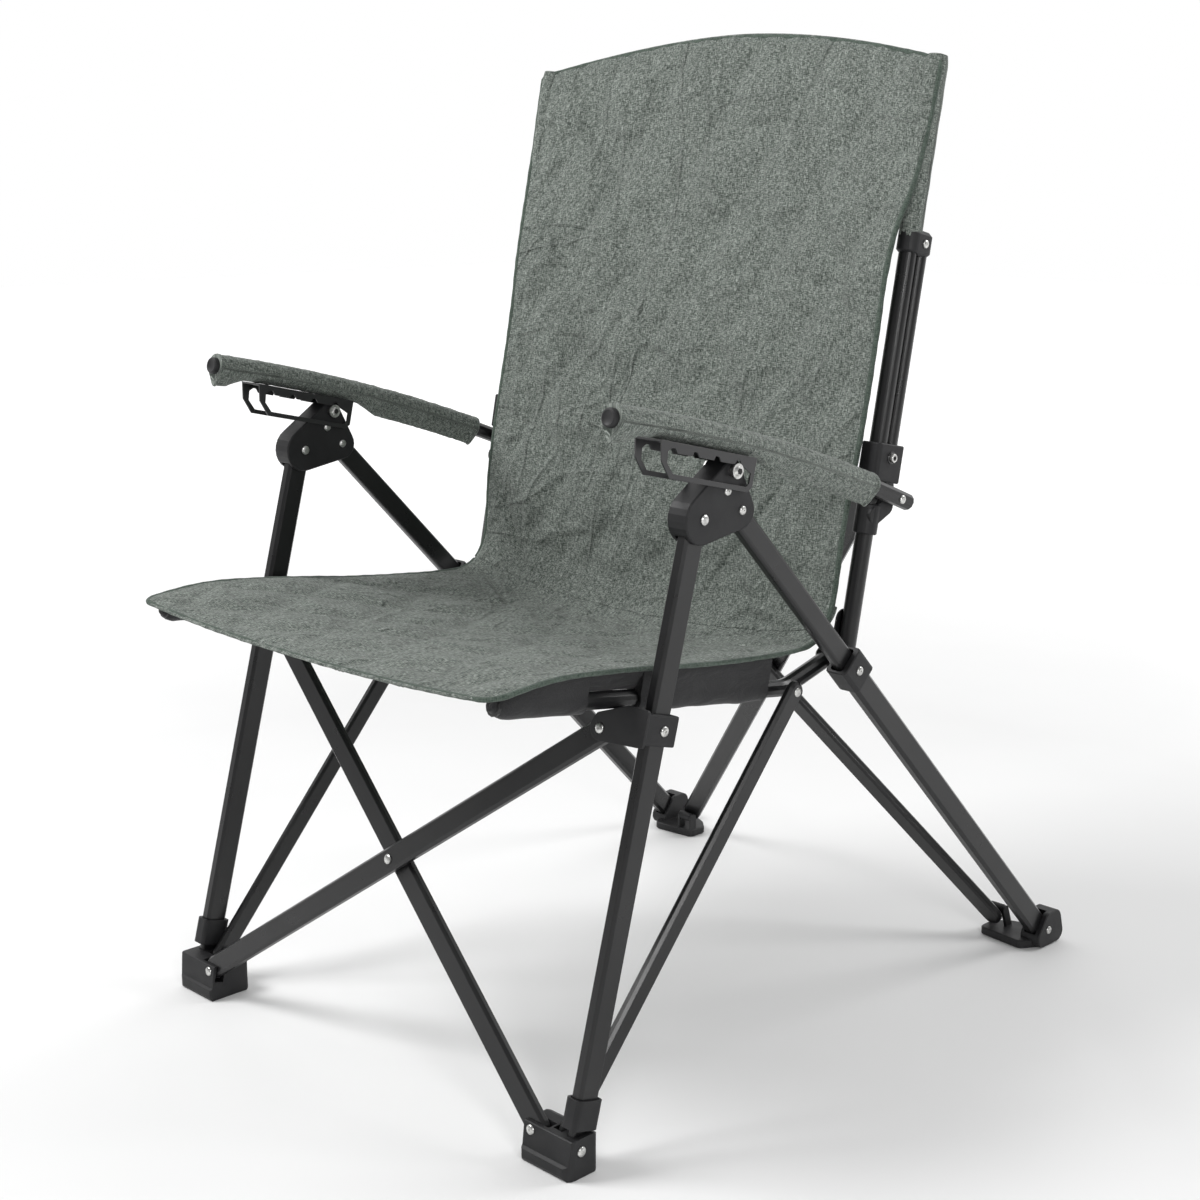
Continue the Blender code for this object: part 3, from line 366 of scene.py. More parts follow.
def sweep(name, path, ups, section, material):
    """Move a cross-section along a path. section(i) gives (across, up) pairs for station i."""
    count = len(path)
    points, uvs, faces = [], [], []
    run = 0.0
    for index, place in enumerate(path):
        before = path[max(index - 1, 0)]
        after = path[min(index + 1, count - 1)]
        along = (after - before).normalized()
        across = along.cross(ups[index]).normalized()
        up = across.cross(along)
        if index:
            run += (place - path[index - 1]).length
        ring = section(index)
        around = 0.0
        for number, (a, b) in enumerate(ring):
            if number:
                around += math.dist(ring[number - 1], (a, b))
            points.append(place + across * a + up * b)
            uvs.append((around, run))
    size = len(section(0))
    for row in range(count - 1):
        for number in range(size):
            following = (number + 1) % size
            faces.append((row * size + number, row * size + following,
                          (row + 1) * size + following, (row + 1) * size + number))
    faces.append(tuple(reversed(range(size))))
    faces.append(tuple(range((count - 1) * size, count * size)))
    return new_object(name, points, faces, material, uvs)


def smooth_line(points, count):
    """Even stations along a smooth curve through the points."""
    points = [np.array(p, float) for p in points]
    ends = [2 * points[0] - points[1]] + points + [2 * points[-1] - points[-2]]
    dense = []
    for i in range(1, len(ends) - 2):
        a, b, c, d = ends[i - 1:i + 3]
        for step in range(20):
            t = step / 20
            dense.append(0.5 * (2 * b + (c - a) * t + (2 * a - 5 * b + 4 * c - d) * t * t
                                + (3 * b - a - 3 * c + d) * t ** 3))
    dense.append(points[-1])
    dense = np.array(dense)
    run = np.concatenate([[0], np.cumsum(np.linalg.norm(np.diff(dense, axis=0), axis=1))])
    even = np.linspace(0, run[-1], count)
    return np.stack([np.interp(even, run, dense[:, k]) for k in range(dense.shape[1])], 1)


def oval(half_width, half_height, count, power):
    """A ring between an ellipse, at power 2, and a rectangle."""
    ring = []
    for index in range(count):
        angle = 2 * math.pi * index / count
        c, s = math.cos(angle), math.sin(angle)
        ring.append((half_width * math.copysign(abs(c) ** (2 / power), c),
                     half_height * math.copysign(abs(s) ** (2 / power), s)))
    return ring


# ---------------------------------------------------------------- padded panels
OVERLAP, SEAT_TAIL = 0.024, 0.034       # where back lies on seat, and how far the seat goes on past it
SEAT_HALF, BACK_HALF, BACK_RIM = 0.0040, 0.0042, 0.0006     # half thicknesses
QUILT_PITCH, QUILT_SLANT = 0.105, 0.62
EDGE_TAPER, QUILT_TAPER, FOLD_TAPER = 0.010, 0.009, 0.030   # how soon the padding is full
EDGE_SEWN, SEAM_SEWN, QUILT_SEWN = 0.008, 0.036, 0.004      # held still in the cloth simulation
PUFF_STEPS, PUFF_MOST = 20, 0.005       # frames, and the farthest that a point may move


class Panel:
    """A fabric panel whose edges and sagging middle are cut from the chair's fabric line.

    Each station of the line holds the edge's depth and height, the middle's depth and height
    and the half width.
    """

    def __init__(self, line, start, end, columns, rows, crown=None):
        run = edge_run(line)
        stations = np.linspace(start, end, rows + 1)
        self.columns, self.rows = columns, rows
        self.line = np.stack([np.interp(stations, run, line[:, k]) for k in range(5)], 1)
        self.run = stations
        self.length = float(end - start)
        self.crown = crown

    def row_values(self, row):
        """The station's five values at a row, which may lie between two."""
        low = int(min(max(math.floor(row), 0), self.rows - 1))
        t = row - low
        return self.line[low] * (1 - t) + self.line[low + 1] * t

    def place(self, u, row):
        """A point of the mid-surface, u from -1 to 1 across the chair."""
        values = self.row_values(row)
        share = 1 - abs(u) ** 2.3
        depth = values[0] * (1 - share) + values[2] * share
        height = values[1] * (1 - share) + values[3] * share
        if self.crown:
            height += self.crown(row / self.rows) * (1 - abs(u) ** 1.8)
        return at(u * values[4], depth, height)

    def normal(self, u, row):
        du = self.place(min(u + 0.01, 1), row) - self.place(max(u - 0.01, -1), row)
        dv = self.place(u, min(row + 0.5, self.rows)) - self.place(u, max(row - 0.5, 0))
        return du.cross(dv).normalized()


def edge_run(line):
    """Distance along the fabric's edge at each station."""
    return np.concatenate([[0], np.cumsum(np.linalg.norm(np.diff(line[:, :2], axis=0), axis=1))])


def ease(value):
    """A smooth step from 0 to 1."""
    t = min(max(value, 0.0), 1.0)
    return t * t * (3 - 2 * t)


def moved_line(line, lift):
    """The line moved along its own normals by lift(distance past the seam)."""
    run = edge_run(line)
    out = line.copy()
    for column in (0, 2):
        slope = np.gradient(line[:, column:column + 2], axis=0)
        slope /= np.linalg.norm(slope, axis=1, keepdims=True)
        rise = np.array([lift(r - SEAM) for r in run])
        out[:, column] -= slope[:, 1] * rise
        out[:, column + 1] += slope[:, 0] * rise
    return out


def round_corner(line, from_end, radius):
    """Round the panel's outline where it starts or ends."""
    run = edge_run(line)
    left = run[-1] - run if from_end else run
    inside = np.clip(radius - left, 0, radius)
    line[:, 4] -= radius - np.sqrt(radius ** 2 - inside ** 2)


def quilt_distance(x, run):
    """Distance to the nearest sewn line of a diamond quilting pattern."""
    first = (x + run * QUILT_SLANT) / QUILT_PITCH
    second = (x - run * QUILT_SLANT) / QUILT_PITCH
    return min(abs(first - round(first)), abs(second - round(second))) * QUILT_PITCH * 0.85


def free_edge(panel, u, row):
    """Distance to the panel's nearest edge that isn't sewn to the other panel."""
    run = panel.run[row]
    ends = [(1 - abs(u)) * panel.line[row][4]]
    if panel.run[0] < SEAM:
        ends.append(run - panel.run[0])
    if panel.run[-1] > SEAM + 0.10:
        ends.append(panel.run[-1] - run)
    return max(min(ends), 0)


def build_panel(name, panel, thickness, lift):
    """A closed, padded solid on the panel's mid-surface. Returns the object and its pin weights.

    Half the thickness, and how far the mid-surface rises, are functions of the distance past the seam.
    """
    columns, rows = panel.columns, panel.rows
    front, rear, uvs, pins = [], [], [], []
    for row in range(rows + 1):
        run = panel.run[row]
        past = run - SEAM
        joined = ease(abs(past) / OVERLAP)
        for column in range(columns + 1):
            u = 2 * column / columns - 1
            middle = panel.place(u, row)
            normal = panel.normal(u, row)
            x = middle.x
            edge = free_edge(panel, u, row)
            quilt = quilt_distance(x, run)
            plump = (1 - math.exp(-edge / EDGE_TAPER)) * (0.45 + 0.55 * (1 - math.exp(-quilt / QUILT_TAPER)))
            fullness = 0.32 + 0.68 * plump
            half = thickness(past) * fullness
            middle = middle + normal * lift(past, fullness)
            sway = cloth_folds(x, run) * (1 - math.exp(-edge / FOLD_TAPER)) * (0.35 + 0.65 * joined)
            front.append(middle + normal * (half + sway))
            rear.append(middle - normal * (half - sway))
            uvs.append((x, run))
            sewn = edge < EDGE_SEWN or abs(past) < SEAM_SEWN
            pins.append(1.0 if sewn else max(0.0, 0.9 - quilt / QUILT_SEWN))
    size = (rows + 1) * (columns + 1)
    faces = []
    for row in range(rows):
        for column in range(columns):
            a = row * (columns + 1) + column
            b, c, d = a + 1, a + columns + 2, a + columns + 1
            faces.append((a, b, c, d))
            faces.append((size + d, size + c, size + b, size + a))
    rim = list(range(columns + 1))
    rim += [r * (columns + 1) + columns for r in range(1, rows + 1)]
    rim += [rows * (columns + 1) + c for c in range(columns - 1, -1, -1)]
    rim += [r * (columns + 1) for r in range(rows - 1, 0, -1)]
    for index, a in enumerate(rim):
        b = rim[(index + 1) % len(rim)]
        faces.append((b, a, size + a, size + b))
    made = new_object(name, front + rear, faces, FABRIC, uvs + uvs, smooth=False)
    made.data.shade_smooth()
    return made, pins + pins


def puff(piece, pins):
    """Inflate the padding between its sewn lines with a cloth simulation, and keep the result."""
    rest = np.empty(len(piece.data.vertices) * 3)
    piece.data.vertices.foreach_get("co", rest)
    rest = rest.reshape(-1, 3)
    group = piece.vertex_groups.new(name="sewn")
    for index, weight in enumerate(pins):
        if weight > 0:
            group.add([index], weight, "REPLACE")
    cloth = piece.modifiers.new("cloth", "CLOTH")
    settings = cloth.settings
    settings.quality = 4
    settings.mass = 0.25
    settings.tension_stiffness = 12
    settings.compression_stiffness = 12
    settings.shear_stiffness = 4
    settings.bending_stiffness = 0.4
    settings.use_pressure = True
    settings.uniform_pressure_force = 4.0
    settings.shrink_min = -0.02
    settings.vertex_group_mass = "sewn"
    settings.effector_weights.gravity = 0
    cloth.collision_settings.use_collision = False
    cloth.collision_settings.use_self_collision = False
    cloth.point_cache.frame_start = 1
    cloth.point_cache.frame_end = PUFF_STEPS
    scene = bpy.context.scene
    for step in range(1, PUFF_STEPS + 1):
        scene.frame_set(step)
    graph = bpy.context.evaluated_depsgraph_get()
    shaped = piece.evaluated_get(graph).to_mesh()
    moved = np.empty(len(shaped.vertices) * 3)
    shaped.vertices.foreach_get("co", moved)
    piece.evaluated_get(graph).to_mesh_clear()
    piece.modifiers.remove(cloth)
    scene.frame_set(1)
    shift = moved.reshape(-1, 3) - rest
    length = np.linalg.norm(shift, axis=1, keepdims=True)
    shift *= np.minimum(1, PUFF_MOST / np.maximum(length, 1e-9))
    piece.data.vertices.foreach_set("co", (rest + shift).reshape(-1))
    piece.data.update()


def subdivide(piece):
    """Apply one level of subdivision."""
    modifier = piece.modifiers.new("smooth", "SUBSURF")
    modifier.levels = modifier.render_levels = 1
    graph = bpy.context.evaluated_depsgraph_get()
    mesh = bpy.data.meshes.new_from_object(piece.evaluated_get(graph))
    piece.modifiers.clear()
    piece.data = mesh
    mesh.shade_smooth()


def folds(x, run):
    """Soft standing creases that cross in slanting directions."""
    total = 0.0
    for turn, stretch, pitch, size in ((0.55, 5.0, 24, 0.0030), (-0.62, 4.2, 26, 0.0027),
                                       (1.35, 3.0, 22, 0.0016), (-0.30, 6.0, 48, 0.0013)):
        c, s = math.cos(turn), math.sin(turn)
        across, along = x * c + run * s, -x * s + run * c
        value = noise.noise(Vector((across * pitch, along * pitch / stretch, turn * 7)))
        total += size * (0.5 - 1.9 * abs(value)) * (0.6 + 0.4 * math.tanh(30 * value))
    return total


def crease(x, run, start, end, depth, width):
    """A single fold in the cloth from one place to another, given as (x, run)."""
    ax, ay = end[0] - start[0], end[1] - start[1]
    length = math.hypot(ax, ay)
    t = ((x - start[0]) * ax + (run - start[1]) * ay) / length ** 2
    off = ((x - start[0]) * ay - (run - start[1]) * ax) / length
    if not -0.15 < t < 1.15:
        return 0.0
    fade = ease((t + 0.15) / 0.35) * ease((1.15 - t) / 0.35)
    q = off / width
    return depth * fade * (-math.exp(-q * q) + 0.75 * math.exp(-(q - 1.5) ** 2))


# Each is (x, run) at both ends, depth and width.
SEAM_CREASES = (
    ((-0.255, 0.475), (-0.150, 0.415), 0.0050, 0.0060), ((-0.245, 0.560), (-0.170, 0.470), 0.0048, 0.0055),
    ((-0.150, 0.430), (-0.165, 0.350), 0.0034, 0.0050), ((0.262, 0.470), (0.165, 0.500), 0.0052, 0.0060),
    ((0.262, 0.455), (0.190, 0.440), 0.0040, 0.0050), ((0.170, 0.505), (0.120, 0.450), 0.0030, 0.0050),
    ((0.190, 0.640), (0.080, 0.500), 0.0022, 0.0050), ((-0.215, 0.700), (-0.130, 0.560), 0.0026, 0.0055),
    ((0.250, 0.800), (0.150, 0.700), 0.0022, 0.0060), ((-0.255, 0.900), (-0.120, 0.800), 0.0022, 0.0060),
    ((0.262, 0.250), (0.200, 0.160), 0.0026, 0.0070), ((-0.100, 0.300), (0.060, 0.420), 0.0016, 0.0070))


def cloth_folds(x, run):
    """How far the cloth stands off its smooth shape."""
    total = folds(x, run)
    for start, end, depth, width in SEAM_CREASES:
        total += crease(x, run, start, end, depth, width)
    return total


def back_crown(share):
    """How far the middle of the back rises above its edges, share up from the seam."""
    return 0.034 * ease((share - 0.45) / 0.55)


# Stations from the seat's front edge to the top of the back, as Panel describes them.
FABRIC_LINE = smooth_line([
    (-0.0660, 0.4710, -0.0720, 0.4640, 0.2845), (0.0130, 0.4770, 0.0100, 0.4590, 0.2845),
    (0.0790, 0.4725, 0.0790, 0.4485, 0.2845), (0.1480, 0.4640, 0.1480, 0.4380, 0.2840),
    (0.2190, 0.4540, 0.2190, 0.4270, 0.2830), (0.2940, 0.4460, 0.2940, 0.4180, 0.2815),
    (0.3450, 0.4420, 0.3450, 0.4150, 0.2795), (0.3850, 0.4420, 0.3760, 0.4180, 0.2775),
    (0.4090, 0.4540, 0.3990, 0.4290, 0.2765), (0.4230, 0.4780, 0.4160, 0.4500, 0.2765),
    (0.4280, 0.5060, 0.4290, 0.4800, 0.2775), (0.4330, 0.5500, 0.4410, 0.5300, 0.2790),
    (0.4430, 0.6020, 0.4560, 0.5900, 0.2810), (0.4570, 0.6600, 0.4730, 0.6500, 0.2820),
    (0.4690, 0.7150, 0.4900, 0.7150, 0.2820), (0.4785, 0.7650, 0.5060, 0.7700, 0.2820),
    (0.4870, 0.8150, 0.5220, 0.8200, 0.2825), (0.4990, 0.8620, 0.5370, 0.8650, 0.2850),
    (0.5170, 0.9100, 0.5520, 0.9120, 0.2930), (0.5310, 0.9580, 0.5650, 0.9600, 0.2965),
    (0.5420, 1.0060, 0.5750, 1.0100, 0.2985), (0.5490, 1.0375, 0.5790, 1.0390, 0.2985)], 600)
FULL_RUN = float(edge_run(FABRIC_LINE)[-1])
SEAM = float(np.interp(0.4080, FABRIC_LINE[:300, 0], edge_run(FABRIC_LINE)[:300]))


def seat_thickness(past):
    return SEAT_HALF * (1 - 0.35 * ease(past / OVERLAP))


def back_thickness(past):
    return BACK_RIM + (BACK_HALF - BACK_RIM) * ease(past / OVERLAP)


def back_lift(past, fullness):
    """Keeps the back's tapered rim on the front of the seat's tail."""
    return BACK_HALF * fullness * (1 - ease(past / OVERLAP))


round_corner(FABRIC_LINE, False, 0.026)
round_corner(FABRIC_LINE, True, 0.009)
seat_line = moved_line(FABRIC_LINE, lambda past: -0.0075 * ease(past / OVERLAP))
seat_panel = Panel(seat_line, 0.0, SEAM + SEAT_TAIL, 116, 108)
back_panel = Panel(FABRIC_LINE, SEAM, FULL_RUN, 116, 132, back_crown)
seat, seat_pins = build_panel("seat_fabric", seat_panel, seat_thickness, lambda past, fullness: 0.0)
back, back_pins = build_panel("back_fabric", back_panel, back_thickness, back_lift)
puff(seat, seat_pins)
puff(back, back_pins)
subdivide(seat)
subdivide(back)


# ---------------------------------------------------------------- binding and stitching
BINDING_INSET, STITCH_INSET = 0.0018, 0.0090


def panel_rim(panel, from_row, to_row, cross_at_start, inset):
    """Points and normals along one side, across an end and back along the other side."""
    skip = int(inset / (panel.length / panel.rows)) + 1
    if cross_at_start:
        end_row = skip
        side_rows = [row for row in range(to_row, from_row - 1, -1) if row >= end_row]
    else:
        end_row = panel.rows - skip
        side_rows = [row for row in range(from_row, to_row + 1) if row <= end_row]
    stations = [(1, row) for row in side_rows]
    stations += [(1 - 2 * step / 60, end_row) for step in range(1, 60)]
    stations += [(-1, row) for row in side_rows[::-1]]
    stations = [(u * (1 - inset / panel.line[row][4]), row) for u, row in stations]
    return [panel.place(*station) for station in stations], [panel.normal(*station) for station in stations]


def even_path(places, normals, spacing):
    """The same path and normals at even steps."""
    run = [0.0]
    for a, b in zip(places, places[1:]):
        run.append(run[-1] + (b - a).length)
    count = max(2, int(run[-1] / spacing))
    ways = np.linspace(0, run[-1], count)
    grid = np.array([tuple(p) for p in places])
    lean = np.array([tuple(n) for n in normals])
    out = np.stack([np.interp(ways, run, grid[:, k]) for k in range(3)], 1)
    tip = np.stack([np.interp(ways, run, lean[:, k]) for k in range(3)], 1)
    return [Vector(p) for p in out], [Vector(n).normalized() for n in tip]


def binding(name, panel, from_row, to_row, cross_at_start):
    """A folded tape sewn over the panel's raw edge."""
    path, ups = even_path(*panel_rim(panel, from_row, to_row, cross_at_start, BINDING_INSET), 0.006)

    def section(index):
        swell = 1 + 0.06 * math.sin(index * 1.7) + 0.04 * math.sin(index * 0.61)
        return oval(0.0030 * swell, 0.0025 * swell, 12, 2.6)

    return sweep(name, path, ups, section, BINDING)


def stitches(name, panel, cloth, from_row, to_row, cross_at_start, inset, pitch=0.0055):
    """A row of raised thread stitches that lies on the fabric."""
    tree = BVHTree.FromPolygons([v.co for v in cloth.data.vertices],
                                [tuple(p.vertices) for p in cloth.data.polygons])
    places, normals = panel_rim(panel, from_row, to_row, cross_at_start, inset)
    path, ups = even_path(places, normals, pitch)
    points, faces, uvs = [], [], []
    for face in (1, -1):
        for index in range(len(path) - 1):
            along = (path[index + 1] - path[index]).normalized()
            up = ups[index] * face
            hit = tree.ray_cast(path[index] + up * 0.02, -up, 0.04)
            if hit[0] is None:
                continue
            middle = hit[0] + up * 0.00015
            across = along.cross(up).normalized()
            base = len(points)
            for share, width, rise in ((-0.33, 0.00015, -0.0003), (-0.18, 0.00042, 0.00030),
                                       (0.18, 0.00042, 0.00030), (0.33, 0.00015, -0.0003)):
                centre = middle + along * (share * pitch)
                points += [centre - across * width, centre + up * rise, centre + across * width,
                           centre - up * 0.0003]
                uvs += [(0, share * pitch)] * 4
            for row in range(3):
                for k in range(4):
                    n = (k + 1) % 4
                    faces.append((base + row * 4 + k, base + row * 4 + n, base + row * 4 + 4 + n,
                                  base + row * 4 + 4 + k))
            faces.append((base + 3, base + 2, base + 1, base))
            faces.append((base + 12, base + 13, base + 14, base + 15))
    return new_object(name, points, faces, THREAD, uvs)


seam_row = int(SEAM / seat_panel.length * seat_panel.rows)
seat_binding = binding("seat_binding", seat_panel, 0, seam_row, True)
back_binding = binding("back_binding", back_panel, 0, back_panel.rows, False)
seat_stitching = stitches("seat_stitching", seat_panel, seat, 2, seam_row, True, STITCH_INSET)
back_stitching = stitches("back_stitching", back_panel, back, 3, back_panel.rows - 2, False, STITCH_INSET)

for piece in (seat, seat_binding, seat_stitching):
    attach(piece, "seat_rail_left")
    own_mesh(piece)
for piece in (back, back_binding, back_stitching):
    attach(piece, "back_post_left")
    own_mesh(piece)
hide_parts("seat_panel")
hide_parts("back_panel")


# ---------------------------------------------------------------- sleeves on rails and posts
def rail_height(depth):
    """Height of the seat rail's centre line."""
    share = (depth - RAIL_FRONT[0]) / (RAIL_BEND[0] - RAIL_FRONT[0])
    return RAIL_FRONT[1] + share * (RAIL_BEND[1] - RAIL_FRONT[1])


def edge_height(depth):
    """Height of the seat fabric's edge above the floor."""
    return float(np.interp(depth, FABRIC_LINE[:280, 0], FABRIC_LINE[:280, 1]))


SLEEVE_CLOSING = (0.35, 0.80, 0.97)     # the first sections, where the sleeve is sewn shut


def rail_sleeve(side, label, part, start, end, wrapped=True):
    """Black cloth that hangs from the seat's edge and, where wrapped, goes round the rail."""
    count = max(6, int((end - start) / 0.007))
    depths = [start + (end - start) * i / count for i in range(count + 1)]
    path = [at(side * RAIL_X, d, rail_height(d)) for d in depths]
    ups = [Vector((0, 0, 1))] * len(path)

    def section(index):
        d = depths[index]
        sag = 0.0016 * noise.noise(Vector((d * 34, side * 3.0, 1.0)))
        wide = 0.0116 + 0.0009 * noise.noise(Vector((d * 45, side * 5.0, 4.0)))
        tall = 0.0122 + 0.0010 * noise.noise(Vector((d * 40, side * 2.0, 9.0)))
        if part == "front" and index < len(SLEEVE_CLOSING):
            wide, tall = wide * SLEEVE_CLOSING[index], tall * SLEEVE_CLOSING[index]
        top = max(edge_height(d) - 0.0035 - rail_height(d), tall * 0.9)
        lean = side * 0.0105 * min(1, top / 0.020)
        arc = []
        for step in range(17):
            angle = math.pi * (0.86 + 1.28 * step / 16)
            lower, reach = (math.sin(angle), wide) if wrapped else (0.80, 0.0030)
            arc.append((reach * math.cos(angle), tall * lower + (sag if lower < 0 else 0)))
        right, left = arc[-1], arc[0]
        tip = 0.0016
        up_side = [(right[0] + (lean + tip - right[0]) * t ** 0.7, right[1] + (top - right[1]) * t)
                   for t in (0.25, 0.5, 0.75, 1.0)]
        down_side = [(left[0] + (lean - tip - left[0]) * t ** 0.7, left[1] + (top - left[1]) * t)
                     for t in (1.0, 0.75, 0.5, 0.25)]
        return arc + up_side + down_side

    sleeve = sweep(f"rail_sleeve_{part}_{label}", path, ups, section, BLACK_CLOTH)
    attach(sleeve, "seat_rail_" + label)


def post_sleeve(side, label):
    """The back panel's fabric wraps round the upper post and closes over its end."""
    count = 34
    start, end = 0.440, 0.6300
    path = [post_point(side, start + (end - start) * i / count) for i in range(count + 1)]
    ups = [-POST_BACK] * len(path)

    def section(index):
        way = index / count
        wide = 0.0111 + 0.0006 * noise.noise(Vector((way * 9, side, 2.0)))
        deep = 0.0113 + 0.0007 * noise.noise(Vector((way * 7, side * 3, 5.0)))
        shut = {0: 0.96, count - 1: 0.95, count: 0.86}.get(index, 1.0)
        gather = 1 + 0.10 * math.exp(-way / 0.04)
        return [(a * shut * gather, b * shut * (1.08 if b > 0 else 1.0))
                for a, b in oval(wide, deep, 20, 2.3)]

    sleeve = sweep(f"post_sleeve_{label}", path, ups, section, FABRIC)
    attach(sleeve, "back_post_" + label)


for side, label in SIDES:
    rail_sleeve(side, label, "front", -0.0490, 0.062)
    rail_sleeve(side, label, "middle", 0.0622, 0.1318, False)
    rail_sleeve(side, label, "rear", 0.132, 0.318)
    post_sleeve(side, label)


# ---------------------------------------------------------------- armrest covers
def arm_cover(side, label):
    """A sewn cover, gathered to a seam beneath the arm, open at both ends."""
    count = 70
    shares = [0.004 + 0.846 * i / count for i in range(count + 1)]
    path = [arm_point(side, share) for share in shares]
    ups = [Vector((0, 0.28, 0.96))] * len(path)

    def section(index):
        share = shares[index]
        free = min(1.0, max(0.0, (0.085 - share) / 0.05)) + min(1.0, max(0.0, (share - 0.45) / 0.06))
        pucker = 0.0007 * noise.noise(Vector((share * 60, side * 4.0, 0.0)))
        ring = []
        for step in range(28):
            angle = 2 * math.pi * step / 28
            c, s = math.cos(angle), math.sin(angle)
            wobble = 0.0005 * noise.noise(Vector((share * 42, c * 2, s * 2 + side)))
            radius = 0.0128 + pucker + wobble
            drop = max(0.0, -s) ** 3
            low = 0.0095 * free * drop
            ring.append((radius * c * (1 - 0.38 * drop * free),
                         radius * s * (1.04 if s > 0 else 0.93) - low))
        return ring

    cover = sweep("arm_cover_cloth_" + label, path, ups, section, ARM_FABRIC)
    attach(cover, "armrest_" + label)
    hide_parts("arm_cover_" + label)
    for end, where, station in (("front", 0.004, 0), ("rear", 0.842, count)):
        steps = [arm_point(side, where + 0.008 * i / 4) for i in range(5)]

        def hem(index, station=station):
            grow = 1.035 + 0.02 * math.sin(math.pi * index / 4)
            return [(a * grow, b * grow) for a, b in section(station)]

        band = sweep(f"arm_hem_{end}_{label}", steps, [ups[0]] * 5, hem, ARM_FABRIC)
        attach(band, "armrest_" + label)
    plug = lathe("arm_plug_" + label, arm_point(side, 0.012),
                 arm_point(side, 0.0) - arm_point(side, 0.05),
                 [(0.0, 0.0092), (0.0075, 0.0092), (0.0090, 0.0085), (0.0094, 0.0070), (0.0086, 0.0060),
                  (0.0086, 0.0001)], PLASTIC, 28)
    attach(plug, "armrest_" + label)


for side, label in SIDES:
    arm_cover(side, label)


# ---------------------------------------------------------------- rivets and screws
FOOT_RIVET_X, FOOT_OUTER, FOOT_WALL, FOOT_SLOPE = 0.2640, 0.3205, 0.0042, 0.12
BRACKET_RIVET_X, BRACKET_OUTER, BRACKET_WALL = 0.2660, 0.3231, 0.0032


def rivet_head(name, body, point, outward, radius=0.0052, height=0.0022):
    """A domed rivet head with a small drawn centre."""
    profile = [(-0.0006, radius * 0.98), (0.0002, radius), (height * 0.40, radius * 0.97),
               (height * 0.72, radius * 0.80), (height * 0.93, radius * 0.52), (height, radius * 0.30),
               (height * 0.98, radius * 0.20), (height * 0.55, radius * 0.13), (height * 0.50, 0.0001)]
    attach(lathe(name, point, outward, profile, STEEL, 24), body)


def socket_screw(name, body, point, outward, radius=0.0062, height=0.0042):
    """A cap screw with a hexagon socket, on a black washer."""
    washer = lathe(name + "_washer", point, outward, [(-0.0004, radius * 1.32), (0.0006, radius * 1.32),
                                                     (0.0010, radius * 1.24), (0.0010, 0.0001)], SHEET, 28)
    head = lathe(name + "_head", point + outward * 0.0008, outward,
                 [(-0.0004, radius * 0.97), (height * 0.80, radius * 0.97), (height, radius * 0.84),
                  (height, radius * 0.52), (height * 0.55, radius * 0.50), (height * 0.52, 0.0001)],
                 STEEL, 30)
    # painted shade: a dark hexagon fills the socket's floor in place of the shade in its hollow
    socket_shade_hexagon = lathe(name + "_socket", point + outward * 0.0008, outward,
                    [(height * 0.50, radius * 0.50), (height * 0.60, radius * 0.50),
                     (height * 0.60, 0.0001)], SOCKET_SHADE, 6)
    for made in (washer, head, socket_shade_hexagon):
        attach(made, body)


def along_rear(side, along, x_out):
    """A point on a rear leg, measured down from the hub's pivot."""
    base = at(0, *HUB_PIVOT) + REAR_DOWN * along
    return Vector((side * x_out, base.y, base.z))


def cross_reach(layer):
    """Outer face of the cross tube that passes in front (1) or behind (-1)."""
    return max(layer * CROSS_LAYERS[0], layer * CROSS_LAYERS[1])


def foot_rivets(side, label):
    """One rivet through the cross tube, one through the inner leg."""
    wall = CROSS_FOOT[0] - cross_reach(-side) / math.cos(LEAN) - FOOT_WALL
    rivet_head("foot_rivet_front_" + label, "front_foot_" + label,
               at(side * FOOT_RIVET_X, wall, CROSS_FOOT[1]), Vector((0, -1, FOOT_SLOPE)).normalized())
    rivet_head("foot_rivet_side_" + label, "front_foot_" + label,
               at(side * FOOT_OUTER, 0.0120, 0.0270), X * side)


def bracket_rivets(side, label):
    """One rivet over the cross tube's end, one in the sleeve's side."""
    top = at(0, CROSS_FOOT[0] + CROSS_RISE * math.tan(LEAN), CROSS_FOOT[1] + CROSS_RISE)
    plate = cross_reach(side) + CROSS_LAYERS[0] + BRACKET_WALL
    rivet_head("bracket_rivet_front_" + label, "front_leg_" + label,
               top + X * side * BRACKET_RIVET_X + LEG_FRONT * plate, LEG_FRONT)
    rivet_head("bracket_rivet_side_" + label, "front_leg_" + label,
               Vector((side * BRACKET_OUTER, 0, 0)) + top + LEG_UP * 0.010 - LEG_FRONT * 0.012, X * side)


def hub_rivets(side, label):
    """Two rivets on each face."""
    for way, name, x_face in ((1, "out", HUB_OUTER), (-1, "in", HUB_INNER)):
        for spot, place in (("top", HUB_PIVOT), ("rear", HUB_REAR)):
            rivet_head(f"hub_rivet_{spot}_{label}_{name}", "rear_leg_" + label,
                       at(side * x_face, *place), X * side * way, 0.0046)


def ratchet_socket_shades(side, label):
    """Painted shade: a flat dark hexagon on each end of the ratchet bolt stands in for its hexagon socket.
    """
    for way, name in ((1, "out"), (-1, "in")):
        outward = X * side * way
        # painted shade: a thin dark hexagon stands in for the socket's hollow
        spot = lathe(f"ratchet_socket_{label}_{name}", at(side * LEG_X, 0.2095, 0.6505) + outward * 0.0204,
                     outward, [(0.0, 0.0031), (0.0009, 0.0031), (0.0009, 0.0001)], SOCKET_SHADE, 6)
        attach(spot, "ratchet_bolt_" + label)


